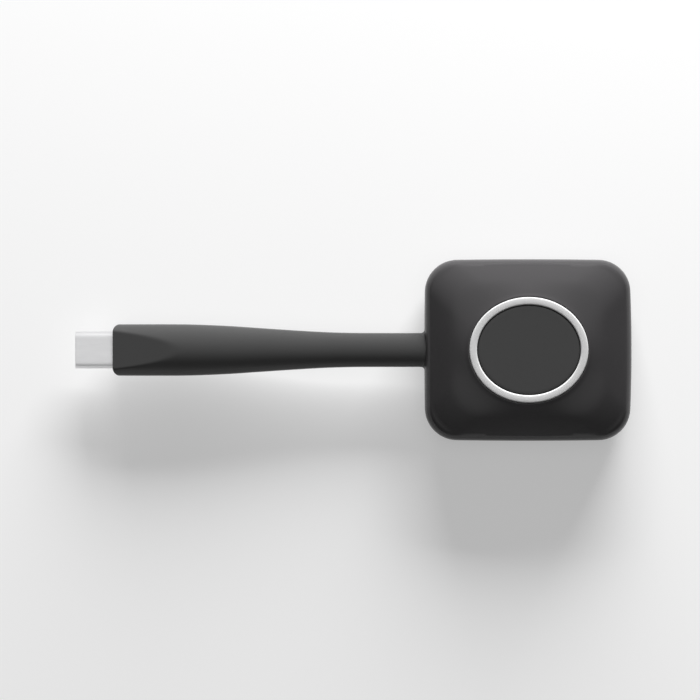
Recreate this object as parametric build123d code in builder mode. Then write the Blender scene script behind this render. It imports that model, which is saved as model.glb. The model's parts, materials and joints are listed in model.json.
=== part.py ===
from build123d import *
import os
from math import atan2, cos, degrees, hypot, radians, sin

os.makedirs("parts", exist_ok=True)

# A wireless presentation dongle lying on a table: a pebble-shaped body with a lit ring around a wide
# button, a moulded neck to the left of it and a reversible plug at the neck's end.
# Millimetres, +Z up. The plug points to -X. The origin is the middle of the foot pad's lower face.

# Clearances
snug_gap = 0.02
fit_gap = 0.05
shell_gap = 0.1
overrun = 1.0

# Body, seen from above
body_length = 46.3
body_width = 40.6
body_corner_radius = 7.2
side_bow = 0.25
far_end_bow = 0.6
wall = 1.5

# Body, seen from the side. The button and its board hang from the top, by the ring's land.
top_height = 12.9
ring_land = 1.7
rim_height = 8.0
rim_roll_radius = 1.1
axis_height = 5.7
under_height = 3.6
under_run = 3.6
foot_proud = 0.4
under_steps = 5
roll_steps = 3

# Lit ring, proud of the cover and standing on a wider flange
ring_length = 26.5
ring_width = 23.56
ring_stroke = 1.7
ring_proud = 0.1
ring_flange_height = 1.0
ring_flange_out = 0.9
ring_flange_in = 0.95
ring_edge_radius = 0.25

# Crown of the top cover from the ring out to the rolled rim: the share of the way out, the share of
# the drop, and the lean of the surface in degrees
crown_shares = [
    (0.000, 0.000, 17.0),
    (0.266, 0.202, 21.0),
    (0.532, 0.450, 25.0),
    (0.798, 0.745, 28.5),
    (1.000, 1.000, 31.0),
]
crown_corner_radius = 8.5
crown_bow = 1.8

# Seam between the covers
lip_height = 1.0
lip_thickness = 0.7

# Foot pad and the screws that it hides
foot_length = 35.0
foot_width = 29.4
foot_corner_radius = 4.0
foot_recess = 0.4
housing_screw_spacing_x = 29.2
housing_screw_spacing_y = 23.2
housing_screw_diameter = 2.0
housing_screw_length = 6.5
housing_screw_head_diameter = 3.4
housing_screw_head_height = 1.3
housing_screw_seat = 2.6
housing_boss_radius = 2.2
housing_boss_gap = 0.3
thread_gap = 0.03

# Main board and its screws
board_thickness = 1.0
board_near_gap = 1.55
board_far_gap = 2.25
board_side_gap = 2.4
board_corner_radius = 5.0
standoff_height = 1.0
standoff_radius = 1.7
board_screw_diameter = 1.6
board_screw_length = 2.4
board_screw_head_diameter = 2.8
board_screw_head_height = 0.9
board_hole_gap = 0.2
board_screw_post_gap = 2.4
board_screw_edge_gap = 3.0
board_screw_near_y = 6.8
board_screw_far_y = 7.4

# Button board, hung from the top cover by four small screws
button_board_thickness = 0.8
button_board_margin = 3.25
button_board_rim_gap = 3.3
button_boss_radius = 1.3
button_boss_gap = 0.2
button_screw_diameter = 1.4
button_screw_length = 2.4
button_screw_head_diameter = 2.4
button_screw_head_height = 0.7
button_screw_angle = 33.0

# Button cap
button_drop = 0.15
button_gap = 0.15
button_thickness = 1.2
button_skirt = 1.0
button_flange_out = 0.9
button_flange_height = 0.5
button_edge_radius = 0.3
button_travel = 0.3
stem_radius = 1.5

# Tactile switch
switch_size = 5.2
switch_base_height = 1.0
switch_floor = 0.3
switch_well_radius = 1.75
switch_frame_thickness = 0.2
plunger_radius = 1.2
plunger_disc_radius = 1.6
plunger_disc_height = 0.2
plunger_spare = 0.2
dome_rim_radius = 1.65
dome_thickness = 0.06

# Ring lamps and the white reflector around them
lamp_count = 12
lamp_length = 1.6
lamp_width = 0.8
lamp_height = 0.6
lamp_gap = 0.1
reflector_height = 1.0
reflector_wall = 0.25
reflector_floor = 0.25
reflector_spread = 0.25

# Chips and parts on the main board: length, width and height
processor_size = (10.0, 10.0, 1.0)
memory_size = (6.5, 9.0, 0.9)
chip_gap = 1.25
thermal_pad_size = (9.0, 9.0, 0.6)
shield_can_wall = 0.2
shield_can_clear = 0.6
radio_board_size = (12.0, 6.0, 0.6)
radio_can_size = (10.0, 5.0, 1.2)
flash_size = (5.0, 5.0, 0.8)
power_chip_size = (4.0, 4.0, 0.9)
inductor_size = (2.5, 2.5, 1.4)
inductor_corner = 0.4
crystal_size = (2.0, 2.4, 0.7)
antenna_size = (2.0, 5.2, 1.0)
capacitor_size = (1.0, 0.5, 0.5)
capacitor_count = 7
capacitor_pitch = 1.7

# Places along the board of the parts above, and how far in from its long edges their middles are
shield_can_near_x = -8.6
radio_x = 3.0
radio_in = 3.8
flash_x = -7.9
flash_in = 4.2
power_chip_x = -8.2
power_chip_in = 4.6
inductor_x = -4.4
inductor_in = 2.4
inductor_pitch = 3.0
crystal_x = -1.8
crystal_can_gap = 0.4
antenna_in = 1.5
antenna_y = 3.2
capacitor_x = 6.0
capacitor_can_gap = 0.35

# Board-to-board link, by its share of the room between the boards
link_size = (9.0, 3.0)
link_x = 4.0
link_in = 4.7
link_header_share = 0.49
link_pin_share = 0.27
link_pin_width = 0.4
link_pin_count = 6
link_pin_pitch = 1.2

# Neck, a soft moulding around the cable
neck_length = 69.65
neck_root_width = 7.6
neck_root_height = 4.6
neck_flare = 0.8
flare_steps = 4
head_width = 11.5
head_height = 7.6
head_corner_radius = 1.7
facet_length = 14.2
facet_half_height = 2.5

# Share of the way from the plug end to the body, and share of the growth from the root to the head
neck_shares = [
    (0.00, 1.000),
    (0.22, 1.000),
    (0.30, 0.930),
    (0.38, 0.800),
    (0.46, 0.610),
    (0.54, 0.420),
    (0.62, 0.240),
    (0.70, 0.090),
    (0.78, 0.015),
    (0.86, 0.000),
    (1.00, 0.000),
]

# Anchor plate and ribs that hold the neck in the covers
anchor_width = 12.0
anchor_height = 4.0
anchor_thickness = 1.6
anchor_corner_radius = 0.8
cradle_thickness = 1.0

# Cable inside the neck
cable_diameter = 3.2
jacket_wall = 0.35
braid_thickness = 0.15
wire_diameter = 0.66
wire_spacing = 0.69
wire_count = 6
jacket_end = 0.5
ferrule_length = 0.8
ferrule_wall = 0.3
cable_header_size = (2.4, 6.0)
cable_header_wall = 0.53
cable_header_clear = 0.2
cable_header_gap = 0.7
cable_header_depth = 1.5

# Plug
plug_exposed = 8.4
plug_width = 8.25
plug_height = 2.4
plug_wall = 0.3
plug_shell_length = 12.6
plug_edge_radius = 0.12
insulator_recess = 0.2
tongue_slot_width = 6.8
tongue_slot_height = 0.9
tongue_slot_depth = 6.0
contact_count = 12
contact_pitch = 0.5
contact_width = 0.25
contact_thickness = 0.12
contact_recess = 0.6
contact_tail = 1.3
latch_thickness = 0.2
latch_height = 0.7
latch_length = 10.0
mid_plate_width = 6.2
mid_plate_length = 5.8
mid_plate_thickness = 0.15

# Paddle card, wire comb, shield can and inner mould behind the plug
card_length = 8.0
card_width = 7.4
card_setback = 0.2
comb_length = 3.0
comb_width = 6.4
comb_height = 2.5
comb_bite = 0.8
plug_can_length = 11.8
plug_can_wall = 0.2
plug_can_height = 3.2
plug_can_overlap = 0.8
inner_mould_width = 9.4
inner_mould_height = 4.0
inner_mould_length = 18.5
inner_mould_corner_radius = 1.2
head_front_wall = 0.8

# Places along the stack, worked out from the sizes above
body_half_length = body_length / 2
body_half_width = body_width / 2
ring_half_length = ring_length / 2
ring_half_width = ring_width / 2
floor_height = foot_proud + wall
board_underside = floor_height + standoff_height
board_top = board_underside + board_thickness
ring_flange_top = top_height - ring_land
reflector_top = ring_flange_top - ring_flange_height
button_board_top = reflector_top - reflector_height
button_board_height = button_board_top - button_board_thickness
ring_top = top_height + ring_proud
button_top = top_height - button_drop + ring_proud
inner_wall_x = body_half_length - wall
anchor_near_x = -inner_wall_x + fit_gap
anchor_far_x = anchor_near_x + anchor_thickness
cradle_far_x = anchor_far_x + fit_gap + cradle_thickness
jacket_end_x = cradle_far_x + jacket_end
ferrule_end_x = jacket_end_x + ferrule_length
cable_header_x = ferrule_end_x + cable_header_gap
head_face_x = -body_half_length - neck_length
plug_tip_x = head_face_x - plug_exposed
shell_end_x = plug_tip_x + plug_shell_length
insulator_front_x = plug_tip_x + insulator_recess
card_front_x = shell_end_x + card_setback
card_end_x = card_front_x + card_length
plug_can_front_x = shell_end_x - plug_can_overlap
plug_can_end_x = plug_can_front_x + plug_can_length
mould_front_x = head_face_x + head_front_wall
jacket_start_x = plug_can_end_x + fit_gap
wire_start_x = card_end_x + fit_gap
wire_end_x = cable_header_x + cable_header_depth
cable_radius = cable_diameter / 2
jacket_inner_radius = cable_radius - jacket_wall
braid_outer_radius = jacket_inner_radius - snug_gap
braid_inner_radius = braid_outer_radius - braid_thickness
card_thickness = tongue_slot_height - 2 * snug_gap
housing_screw_x = housing_screw_spacing_x / 2
housing_screw_y = housing_screw_spacing_y / 2
housing_screw_places = [(x * housing_screw_x, y * housing_screw_y) for x in (-1, 1) for y in (-1, 1)]
wire_bundle_radius = wire_spacing + wire_diameter / 2
board_near_x = cradle_far_x + board_near_gap
board_far_x = inner_wall_x - board_far_gap
board_side_y = body_half_width - wall - board_side_gap
board_screw_near_x = board_screw_post_gap - housing_screw_x
board_screw_far_x = board_far_x - board_screw_edge_gap
board_screw_places = [
    (x, side * y)
    for x, y in ((board_screw_near_x, board_screw_near_y), (board_screw_far_x, board_screw_far_y))
    for side in (-1, 1)
]
board_room = button_board_height - board_top


# Outlines and solids that several pieces share
def pillow_outline(half_length, half_width, corner, bow, far_bow):
    """Four bowed sides joined by round corners. The half sizes reach to the top of each bow."""
    left = -half_length + bow
    right = half_length - far_bow
    near = -half_width + bow
    far = half_width - bow
    with BuildSketch() as outline:
        with BuildLine():
            SagittaArc((left, near), (right, near), -bow)
            SagittaArc((right, near), (right, far), -far_bow)
            SagittaArc((right, far), (left, far), -bow)
            SagittaArc((left, far), (left, near), -bow)
        make_face()
        fillet(outline.vertices(), corner)
    return outline.sketch


def body_outline(inset):
    """Outline of the body's side wall, moved in by an inset."""
    return pillow_outline(
        body_half_length - inset,
        body_half_width - inset,
        body_corner_radius - inset,
        side_bow,
        far_end_bow,
    )


def blend(start, end, share):
    """Value at a share of the way from start to end."""
    return start + (end - start) * share


def crown_outline(out_share, inset):
    """Outline of the crown at a share of the way from the ring to the rim, moved in by an inset."""
    return pillow_outline(
        blend(ring_half_length, body_half_length, out_share) - inset,
        blend(ring_half_width, body_half_width, out_share) - inset,
        blend(crown_corner_radius, body_corner_radius, out_share) - inset,
        blend(crown_bow, side_bow, out_share),
        blend(crown_bow, far_end_bow, out_share),
    )


# The crown stops where the rolled rim starts
rim_lean = crown_shares[-1][2]
roll_inset = rim_roll_radius * (1 - sin(radians(rim_lean)))
roll_share = 1 - roll_inset / (body_half_length - ring_half_length)
roll_top = rim_height + rim_roll_radius * cos(radians(rim_lean))


def crown_height(drop_share):
    """Height of the crown's outer face at a share of its drop."""
    return blend(top_height, roll_top, drop_share)


with BuildPart() as rolled_rim:
    with BuildSketch(Plane.XY.offset(roll_top)):
        add(crown_outline(roll_share, 0))
    for step in range(1, roll_steps + 1):
        lean = radians(blend(rim_lean, 90, step / roll_steps))
        with BuildSketch(Plane.XY.offset(rim_height + rim_roll_radius * cos(lean))):
            add(body_outline(rim_roll_radius * (1 - sin(lean))))
    loft()

with BuildPart() as crown:
    for out_share, drop_share, lean in crown_shares:
        with BuildSketch(Plane.XY.offset(crown_height(drop_share))):
            add(crown_outline(out_share * roll_share, 0))
    loft()
    add(rolled_rim.part)
    with BuildSketch(Plane.XY.offset(axis_height)):
        add(body_outline(0))
    extrude(amount=rim_height - axis_height)

with BuildPart() as crown_hollow:
    for out_share, drop_share, lean in crown_shares:
        shift = wall * sin(radians(lean))
        with BuildSketch(Plane.XY.offset(crown_height(drop_share) - wall * cos(radians(lean)))):
            add(crown_outline(out_share * roll_share, shift))
    rim_shift = wall * sin(radians(rim_lean))
    inner_rim_height = roll_top - wall * cos(radians(rim_lean)) - (wall - roll_inset - rim_shift)
    for height in (inner_rim_height, axis_height):
        with BuildSketch(Plane.XY.offset(height)):
            add(body_outline(wall))
    loft(ruled=True)


def under_station(step, inset):
    """Inset and height of the rolled underside at one step, moved in along its normal."""
    angle = radians(90 * step / under_steps)
    depth = under_height - foot_proud
    normal_out = cos(angle) * depth
    normal_down = sin(angle) * under_run
    normal_size = hypot(normal_out, normal_down)
    out = under_run * (1 - cos(angle)) + inset * normal_out / normal_size
    height = under_height - depth * sin(angle) + inset * normal_down / normal_size
    return out, height


with BuildPart() as bowl:
    with BuildSketch(Plane.XY.offset(under_height)):
        add(body_outline(0))
    extrude(amount=axis_height - under_height)
    for step in range(under_steps + 1):
        out, height = under_station(step, 0)
        with BuildSketch(Plane.XY.offset(height)):
            add(body_outline(out))
    loft()

with BuildPart() as bowl_hollow:
    with BuildSketch(Plane.XY.offset(axis_height)):
        add(body_outline(wall))
    for step in range(under_steps + 1):
        out, height = under_station(step, wall)
        with BuildSketch(Plane.XY.offset(height)):
            add(body_outline(out))
    loft(ruled=True)


def neck_plane(x):
    """Plane across the neck at a place along it, with the neck's width as its first direction."""
    return Plane(origin=(x, 0, axis_height), x_dir=(0, 1, 0), z_dir=(1, 0, 0))


with BuildPart() as neck_passage:
    with BuildSketch(neck_plane(-body_half_length - overrun)):
        Ellipse(neck_root_width / 2 + fit_gap, neck_root_height / 2 + fit_gap)
    extrude(amount=wall + overrun + fit_gap)

with BuildPart() as cable_passage:
    with BuildSketch(neck_plane(-body_half_length)):
        Circle(cable_radius + fit_gap)
    extrude(amount=jacket_end_x + body_half_length)


def oval_places(half_length, half_width, angles):
    """Places and headings around an oval, one for each angle in degrees."""
    places = []
    for angle in angles:
        turn = radians(angle)
        heading = degrees(atan2(half_width * cos(turn), -half_length * sin(turn)))
        places.append((half_length * cos(turn), half_width * sin(turn), heading))
    return places


boss_reach = ring_flange_out + shell_gap + button_boss_gap + button_boss_radius
button_screw_angles = [turn + side * button_screw_angle for turn in (0, 180) for side in (-1, 1)]
button_screw_rows = oval_places(
    ring_half_length + boss_reach, ring_half_width + boss_reach, button_screw_angles
)
button_screw_places = [(x, y) for x, y, heading in button_screw_rows]

# Top cover: domed shell with the ring's opening, screw posts and the upper cradle rib
with BuildPart() as top_fixings:
    with BuildSketch(Plane.XY.offset(ring_flange_top)):
        Ellipse(
            ring_half_length + ring_flange_out + wall / 2, ring_half_width + ring_flange_out + wall / 2
        )
    extrude(amount=wall)
    with BuildSketch(Plane.XY.offset(axis_height)):
        with Locations(*housing_screw_places):
            Circle(housing_boss_radius)
    extrude(amount=top_height - axis_height)
    with BuildSketch(Plane.XY.offset(button_board_top)):
        with Locations(*button_screw_places):
            Circle(button_boss_radius)
    extrude(amount=top_height - button_board_top)
    with BuildSketch(Plane.XY.offset(axis_height)):
        with Locations((cradle_far_x - cradle_thickness / 2, 0)):
            Rectangle(cradle_thickness, anchor_width)
    extrude(amount=top_height - axis_height)
    add(crown.part, mode=Mode.INTERSECT)

with BuildPart() as top_cover:
    add(crown.part)
    add(crown_hollow.part, mode=Mode.SUBTRACT)
    add(top_fixings.part)
    with BuildSketch(Plane.XY.offset(button_board_top)):
        Ellipse(
            ring_half_length + ring_flange_out + shell_gap, ring_half_width + ring_flange_out + shell_gap
        )
    extrude(amount=ring_flange_top - button_board_top, mode=Mode.SUBTRACT)
    with BuildSketch(Plane.XY.offset(button_board_top)):
        Ellipse(ring_half_length + shell_gap, ring_half_width + shell_gap)
    extrude(amount=top_height + overrun - button_board_top, mode=Mode.SUBTRACT)
    with BuildSketch(Plane.XY.offset(axis_height)):
        with Locations(*housing_screw_places):
            Circle(housing_screw_diameter / 2 + thread_gap)
    extrude(amount=housing_screw_seat + housing_screw_length + overrun - axis_height, mode=Mode.SUBTRACT)
    with BuildSketch(Plane.XY.offset(button_board_height)):
        with Locations(*button_screw_places):
            Circle(button_screw_diameter / 2 + thread_gap)
    extrude(amount=button_screw_length + shell_gap, mode=Mode.SUBTRACT)
    with BuildSketch(Plane.XY.offset(axis_height)):
        add(body_outline(wall - lip_thickness - fit_gap))
        add(body_outline(wall), mode=Mode.SUBTRACT)
    extrude(amount=lip_height + fit_gap, mode=Mode.SUBTRACT)
    add(neck_passage.part, mode=Mode.SUBTRACT)
    add(cable_passage.part, mode=Mode.SUBTRACT)
top_cover.part.label = "top_cover"
export_step(top_cover.part, "parts/top_cover.step")

# Bottom cover: bowl with a lip, screw posts, board standoffs, the lower cradle rib and the foot recess
with BuildPart() as bottom_fixings:
    with BuildSketch(Plane.XY.offset(foot_proud)):
        with Locations(*housing_screw_places):
            Circle(housing_boss_radius)
        with Locations((cradle_far_x - cradle_thickness / 2, 0)):
            Rectangle(cradle_thickness, anchor_width)
    extrude(amount=axis_height - foot_proud)
    with BuildSketch(Plane.XY.offset(foot_proud)):
        with Locations(*board_screw_places):
            Circle(standoff_radius)
    extrude(amount=board_underside - foot_proud)
    add(bowl.part, mode=Mode.INTERSECT)

with BuildPart() as bottom_cover:
    add(bowl.part)
    add(bowl_hollow.part, mode=Mode.SUBTRACT)
    add(bottom_fixings.part)
    with BuildSketch(Plane.XY.offset(axis_height)):
        add(body_outline(wall - lip_thickness))
        add(body_outline(wall), mode=Mode.SUBTRACT)
    extrude(amount=lip_height)
    with BuildSketch(Plane.XY.offset(foot_proud)):
        RectangleRounded(foot_length + 2 * shell_gap, foot_width + 2 * shell_gap, foot_corner_radius)
    extrude(amount=foot_recess, mode=Mode.SUBTRACT)
    with BuildSketch(Plane.XY.offset(foot_proud)):
        with Locations(*housing_screw_places):
            Circle(housing_screw_head_diameter / 2 + shell_gap)
    extrude(amount=housing_screw_seat - foot_proud, mode=Mode.SUBTRACT)
    with BuildSketch(Plane.XY.offset(foot_proud)):
        with Locations(*housing_screw_places):
            Circle(housing_screw_diameter / 2 + shell_gap)
    extrude(amount=axis_height - foot_proud + overrun, mode=Mode.SUBTRACT)
    with BuildSketch(Plane.XY.offset(board_top)):
        with Locations(*board_screw_places):
            Circle(board_screw_diameter / 2 + thread_gap)
    extrude(amount=-board_screw_length - shell_gap, mode=Mode.SUBTRACT)
    add(neck_passage.part, mode=Mode.SUBTRACT)
    add(cable_passage.part, mode=Mode.SUBTRACT)
bottom_cover.part.label = "bottom_cover"
export_step(bottom_cover.part, "parts/bottom_cover.step")

# Foot pad: soft sheet in its recess, over the screw heads
with BuildPart() as foot_pad:
    with BuildSketch():
        RectangleRounded(foot_length, foot_width, foot_corner_radius)
    extrude(amount=foot_proud + foot_recess)
    fillet(foot_pad.faces().sort_by(Axis.Z)[0].edges(), foot_proud / 2)
foot_pad.part.label = "foot_pad"
export_step(foot_pad.part, "parts/foot_pad.step")


def screw(diameter, length, head_diameter, head_height, seat, direction):
    """Pan-head screw at the origin, its head under the seat height when the direction is up."""
    with BuildPart() as body:
        with BuildSketch(Plane.XY.offset(seat)):
            Circle(head_diameter / 2)
        extrude(amount=-direction * head_height)
        fillet(body.edges().sort_by(Axis.Z)[0 if direction > 0 else -1], head_height / 4)
        with BuildSketch(Plane.XY.offset(seat)):
            Circle(diameter / 2)
        extrude(amount=direction * length)
        chamfer(body.edges().sort_by(Axis.Z)[-1 if direction > 0 else 0], diameter / 5)
        with BuildSketch(Plane.XY.offset(seat - direction * head_height)):
            RegularPolygon(head_diameter / 5, 6)
        extrude(amount=direction * head_height / 2, mode=Mode.SUBTRACT)
    return body.part


# Screws that close the covers
housing_screw = screw(
    housing_screw_diameter,
    housing_screw_length,
    housing_screw_head_diameter,
    housing_screw_head_height,
    housing_screw_seat,
    1,
)
with BuildPart() as housing_screws:
    with Locations(*housing_screw_places):
        add(housing_screw)
housing_screws.part.label = "housing_screws"
export_step(housing_screws.part, "parts/housing_screws.step")

# Light ring: clear guide with a flange under the cover
with BuildPart() as light_ring:
    with BuildSketch(Plane.XY.offset(reflector_top)):
        Ellipse(ring_half_length + ring_flange_out, ring_half_width + ring_flange_out)
        Ellipse(
            ring_half_length - ring_stroke + ring_flange_in,
            ring_half_width - ring_stroke + ring_flange_in,
            mode=Mode.SUBTRACT,
        )
    extrude(amount=ring_flange_height - fit_gap)
    with BuildSketch(Plane.XY.offset(ring_flange_top - fit_gap)):
        Ellipse(ring_half_length, ring_half_width)
        Ellipse(ring_half_length - ring_stroke, ring_half_width - ring_stroke, mode=Mode.SUBTRACT)
    extrude(amount=ring_top - ring_flange_top + fit_gap)
    fillet(light_ring.edges().group_by(Axis.Z)[-1], ring_edge_radius)
light_ring.part.label = "light_ring"
export_step(light_ring.part, "parts/light_ring.step")

# Button cap: oval plate with a skirt, a stop flange under the ring's ledge and a stem to the switch
button_half_length = ring_half_length - ring_stroke - button_gap
button_half_width = ring_half_width - ring_stroke - button_gap
button_underside = button_top - button_thickness
stop_height = ring_flange_top - 2 * fit_gap
plunger_top = button_board_top + switch_base_height + switch_frame_thickness + button_travel + plunger_spare
with BuildPart() as button_cap:
    with BuildSketch(Plane.XY.offset(stop_height - button_flange_height)):
        Ellipse(button_half_length, button_half_width)
    extrude(amount=button_top - stop_height + button_flange_height)
    fillet(button_cap.edges().group_by(Axis.Z)[-1], button_edge_radius)
    with BuildSketch(Plane.XY.offset(stop_height - button_flange_height)):
        Ellipse(button_half_length + button_flange_out, button_half_width + button_flange_out)
    extrude(amount=button_flange_height)
    with BuildSketch(Plane.XY.offset(stop_height - button_flange_height)):
        Ellipse(button_half_length - button_skirt, button_half_width - button_skirt)
    extrude(amount=button_underside - stop_height + button_flange_height, mode=Mode.SUBTRACT)
    with BuildSketch(Plane.XY.offset(plunger_top)):
        Circle(stem_radius)
    extrude(amount=button_underside - plunger_top)
button_cap.part.label = "button_cap"
export_step(button_cap.part, "parts/button_cap.step")

# Button board: oval, kept inside the crown and off the cradle rib, with notches for the screw posts
# and the cable header
with BuildPart() as button_board:
    with BuildSketch(Plane.XY.offset(button_board_height)):
        Ellipse(
            ring_half_length + ring_flange_out + button_board_margin,
            ring_half_width + ring_flange_out + button_board_margin,
        )
        add(body_outline(button_board_rim_gap), mode=Mode.INTERSECT)
        with Locations((-body_half_length, 0)):
            Rectangle(
                2 * (cradle_far_x + housing_boss_gap + body_half_length),
                anchor_width + 2 * housing_boss_gap,
                mode=Mode.SUBTRACT,
            )
        with Locations((cable_header_x, 0)):
            Rectangle(
                2 * (cable_header_size[0] + cable_header_clear),
                cable_header_size[1] + 2 * cable_header_clear,
                mode=Mode.SUBTRACT,
            )
        with Locations(*housing_screw_places):
            Circle(housing_boss_radius + housing_boss_gap, mode=Mode.SUBTRACT)
        with Locations(*button_screw_places):
            Circle(button_screw_diameter / 2 + board_hole_gap, mode=Mode.SUBTRACT)
    extrude(amount=button_board_thickness)
button_board.part.label = "button_board"
export_step(button_board.part, "parts/button_board.step")

button_screw = screw(
    button_screw_diameter,
    button_screw_length,
    button_screw_head_diameter,
    button_screw_head_height,
    button_board_height,
    1,
)
with BuildPart() as button_board_screws:
    with Locations(*button_screw_places):
        add(button_screw)
button_board_screws.part.label = "button_board_screws"
export_step(button_board_screws.part, "parts/button_board_screws.step")

# Lamps under the ring, evenly turned around it
lamp_half_length = ring_half_length - (ring_stroke - ring_flange_in - ring_flange_out) / 2
lamp_half_width = ring_half_width - (ring_stroke - ring_flange_in - ring_flange_out) / 2
lamp_angles = [360 * (index + 0.5) / lamp_count for index in range(lamp_count)]
lamp_places = [
    Location((x, y, button_board_top), (0, 0, heading))
    for x, y, heading in oval_places(lamp_half_length, lamp_half_width, lamp_angles)
]
bottom_seat = (Align.CENTER, Align.CENTER, Align.MIN)
with BuildPart() as ring_lamps:
    with Locations(*lamp_places):
        Box(lamp_length, lamp_width, lamp_height, align=bottom_seat)
ring_lamps.part.label = "ring_lamps"
export_step(ring_lamps.part, "parts/ring_lamps.step")

# Reflector: white oval trough around the lamps, carrying the light ring
reflector_out = ring_flange_out + reflector_spread
reflector_in = ring_stroke - ring_flange_in + reflector_spread
with BuildPart() as ring_reflector:
    with BuildSketch(Plane.XY.offset(button_board_top)):
        Ellipse(ring_half_length + reflector_out, ring_half_width + reflector_out)
        Ellipse(ring_half_length - reflector_in, ring_half_width - reflector_in, mode=Mode.SUBTRACT)
    extrude(amount=reflector_height)
    with BuildSketch(Plane.XY.offset(button_board_top + reflector_floor)):
        Ellipse(
            ring_half_length + reflector_out - 2 * reflector_wall,
            ring_half_width + reflector_out - 2 * reflector_wall,
        )
        Ellipse(
            ring_half_length - reflector_in + reflector_wall,
            ring_half_width - reflector_in + reflector_wall,
            mode=Mode.SUBTRACT,
        )
    extrude(amount=reflector_height, mode=Mode.SUBTRACT)
    with Locations(*lamp_places):
        Box(
            lamp_length + 2 * lamp_gap,
            lamp_width + 2 * lamp_gap,
            reflector_height,
            align=bottom_seat,
            mode=Mode.SUBTRACT,
        )
ring_reflector.part.label = "ring_reflector"
export_step(ring_reflector.part, "parts/ring_reflector.step")

# Tactile switch: base with a round well, snap dome, plunger and steel frame
switch_frame_height = button_board_top + switch_base_height
with BuildPart() as switch_base:
    with BuildSketch(Plane.XY.offset(button_board_top)):
        Rectangle(switch_size, switch_size)
    extrude(amount=switch_base_height)
    with BuildSketch(Plane.XY.offset(button_board_top + switch_floor)):
        Circle(switch_well_radius)
    extrude(amount=switch_base_height, mode=Mode.SUBTRACT)
switch_base.part.label = "switch_base"
export_step(switch_base.part, "parts/switch_base.step")

with BuildPart() as switch_frame:
    with BuildSketch(Plane.XY.offset(switch_frame_height)):
        Rectangle(switch_size, switch_size)
        Circle(plunger_radius + fit_gap, mode=Mode.SUBTRACT)
    extrude(amount=switch_frame_thickness)
switch_frame.part.label = "switch_frame"
export_step(switch_frame.part, "parts/switch_frame.step")

plunger_disc_top = switch_frame_height - fit_gap
plunger_bottom = plunger_disc_top - plunger_disc_height
with BuildPart() as switch_plunger:
    with BuildSketch(Plane.XY.offset(plunger_bottom)):
        Circle(plunger_disc_radius)
    extrude(amount=plunger_disc_height)
    with BuildSketch(Plane.XY.offset(plunger_bottom)):
        Circle(plunger_radius)
    extrude(amount=plunger_top - plunger_bottom)
switch_plunger.part.label = "switch_plunger"
export_step(switch_plunger.part, "parts/switch_plunger.step")

dome_apex = plunger_bottom - fit_gap
dome_rise = dome_apex - dome_thickness - button_board_top - switch_floor - snug_gap
with BuildPart() as switch_dome:
    with BuildSketch(Plane.XZ):
        with BuildLine():
            ThreePointArc(
                (-dome_rim_radius, dome_apex - dome_rise),
                (0, dome_apex),
                (dome_rim_radius, dome_apex - dome_rise),
            )
            ThreePointArc(
                (-dome_rim_radius, dome_apex - dome_rise - dome_thickness),
                (0, dome_apex - dome_thickness),
                (dome_rim_radius, dome_apex - dome_rise - dome_thickness),
            )
            Line(
                (-dome_rim_radius, dome_apex - dome_rise),
                (-dome_rim_radius, dome_apex - dome_rise - dome_thickness),
            )
            Line(
                (dome_rim_radius, dome_apex - dome_rise),
                (dome_rim_radius, dome_apex - dome_rise - dome_thickness),
            )
        make_face()
        split(bisect_by=Plane.YZ)
    revolve(axis=Axis.Z)
switch_dome.part.label = "switch_dome"
export_step(switch_dome.part, "parts/switch_dome.step")

# Main board, with notches for the covers' screw posts
with BuildPart() as main_board:
    with BuildSketch(Plane.XY.offset(board_underside)):
        with Locations(((board_near_x + board_far_x) / 2, 0)):
            RectangleRounded(board_far_x - board_near_x, 2 * board_side_y, board_corner_radius)
        with Locations(*housing_screw_places):
            Circle(housing_boss_radius + housing_boss_gap, mode=Mode.SUBTRACT)
        with Locations(*board_screw_places):
            Circle(board_screw_diameter / 2 + board_hole_gap, mode=Mode.SUBTRACT)
    extrude(amount=board_thickness)
main_board.part.label = "main_board"
export_step(main_board.part, "parts/main_board.step")

board_screw = screw(
    board_screw_diameter,
    board_screw_length,
    board_screw_head_diameter,
    board_screw_head_height,
    board_top,
    -1,
)
with BuildPart() as main_board_screws:
    with Locations(*board_screw_places):
        add(board_screw)
main_board_screws.part.label = "main_board_screws"
export_step(main_board_screws.part, "parts/main_board_screws.step")

# Chips on the main board
can_border = shield_can_wall + shield_can_clear
processor_x = shield_can_near_x + can_border + processor_size[0] / 2
memory_x = processor_x + processor_size[0] / 2 + chip_gap + memory_size[0] / 2
with BuildPart() as processor:
    with Locations((processor_x, 0, board_top)):
        Box(*processor_size, align=bottom_seat)
processor.part.label = "processor"
export_step(processor.part, "parts/processor.step")

with BuildPart() as memory_chip:
    with Locations((memory_x, 0, board_top)):
        Box(*memory_size, align=bottom_seat)
memory_chip.part.label = "memory_chip"
export_step(memory_chip.part, "parts/memory_chip.step")

can_length = processor_size[0] + chip_gap + memory_size[0] + 2 * can_border
can_width = processor_size[1] + 2 * can_border
can_height = processor_size[2] + thermal_pad_size[2] + shield_can_wall
with BuildPart() as shield_can:
    with Locations((shield_can_near_x + can_length / 2, 0, board_top)):
        Box(can_length, can_width, can_height, align=bottom_seat)
        Box(
            can_length - 2 * shield_can_wall,
            can_width - 2 * shield_can_wall,
            can_height - shield_can_wall,
            align=bottom_seat,
            mode=Mode.SUBTRACT,
        )
shield_can.part.label = "shield_can"
export_step(shield_can.part, "parts/shield_can.step")

with BuildPart() as thermal_pad:
    with Locations((processor_x, 0, board_top + processor_size[2])):
        Box(*thermal_pad_size, align=bottom_seat)
thermal_pad.part.label = "thermal_pad"
export_step(thermal_pad.part, "parts/thermal_pad.step")

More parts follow.
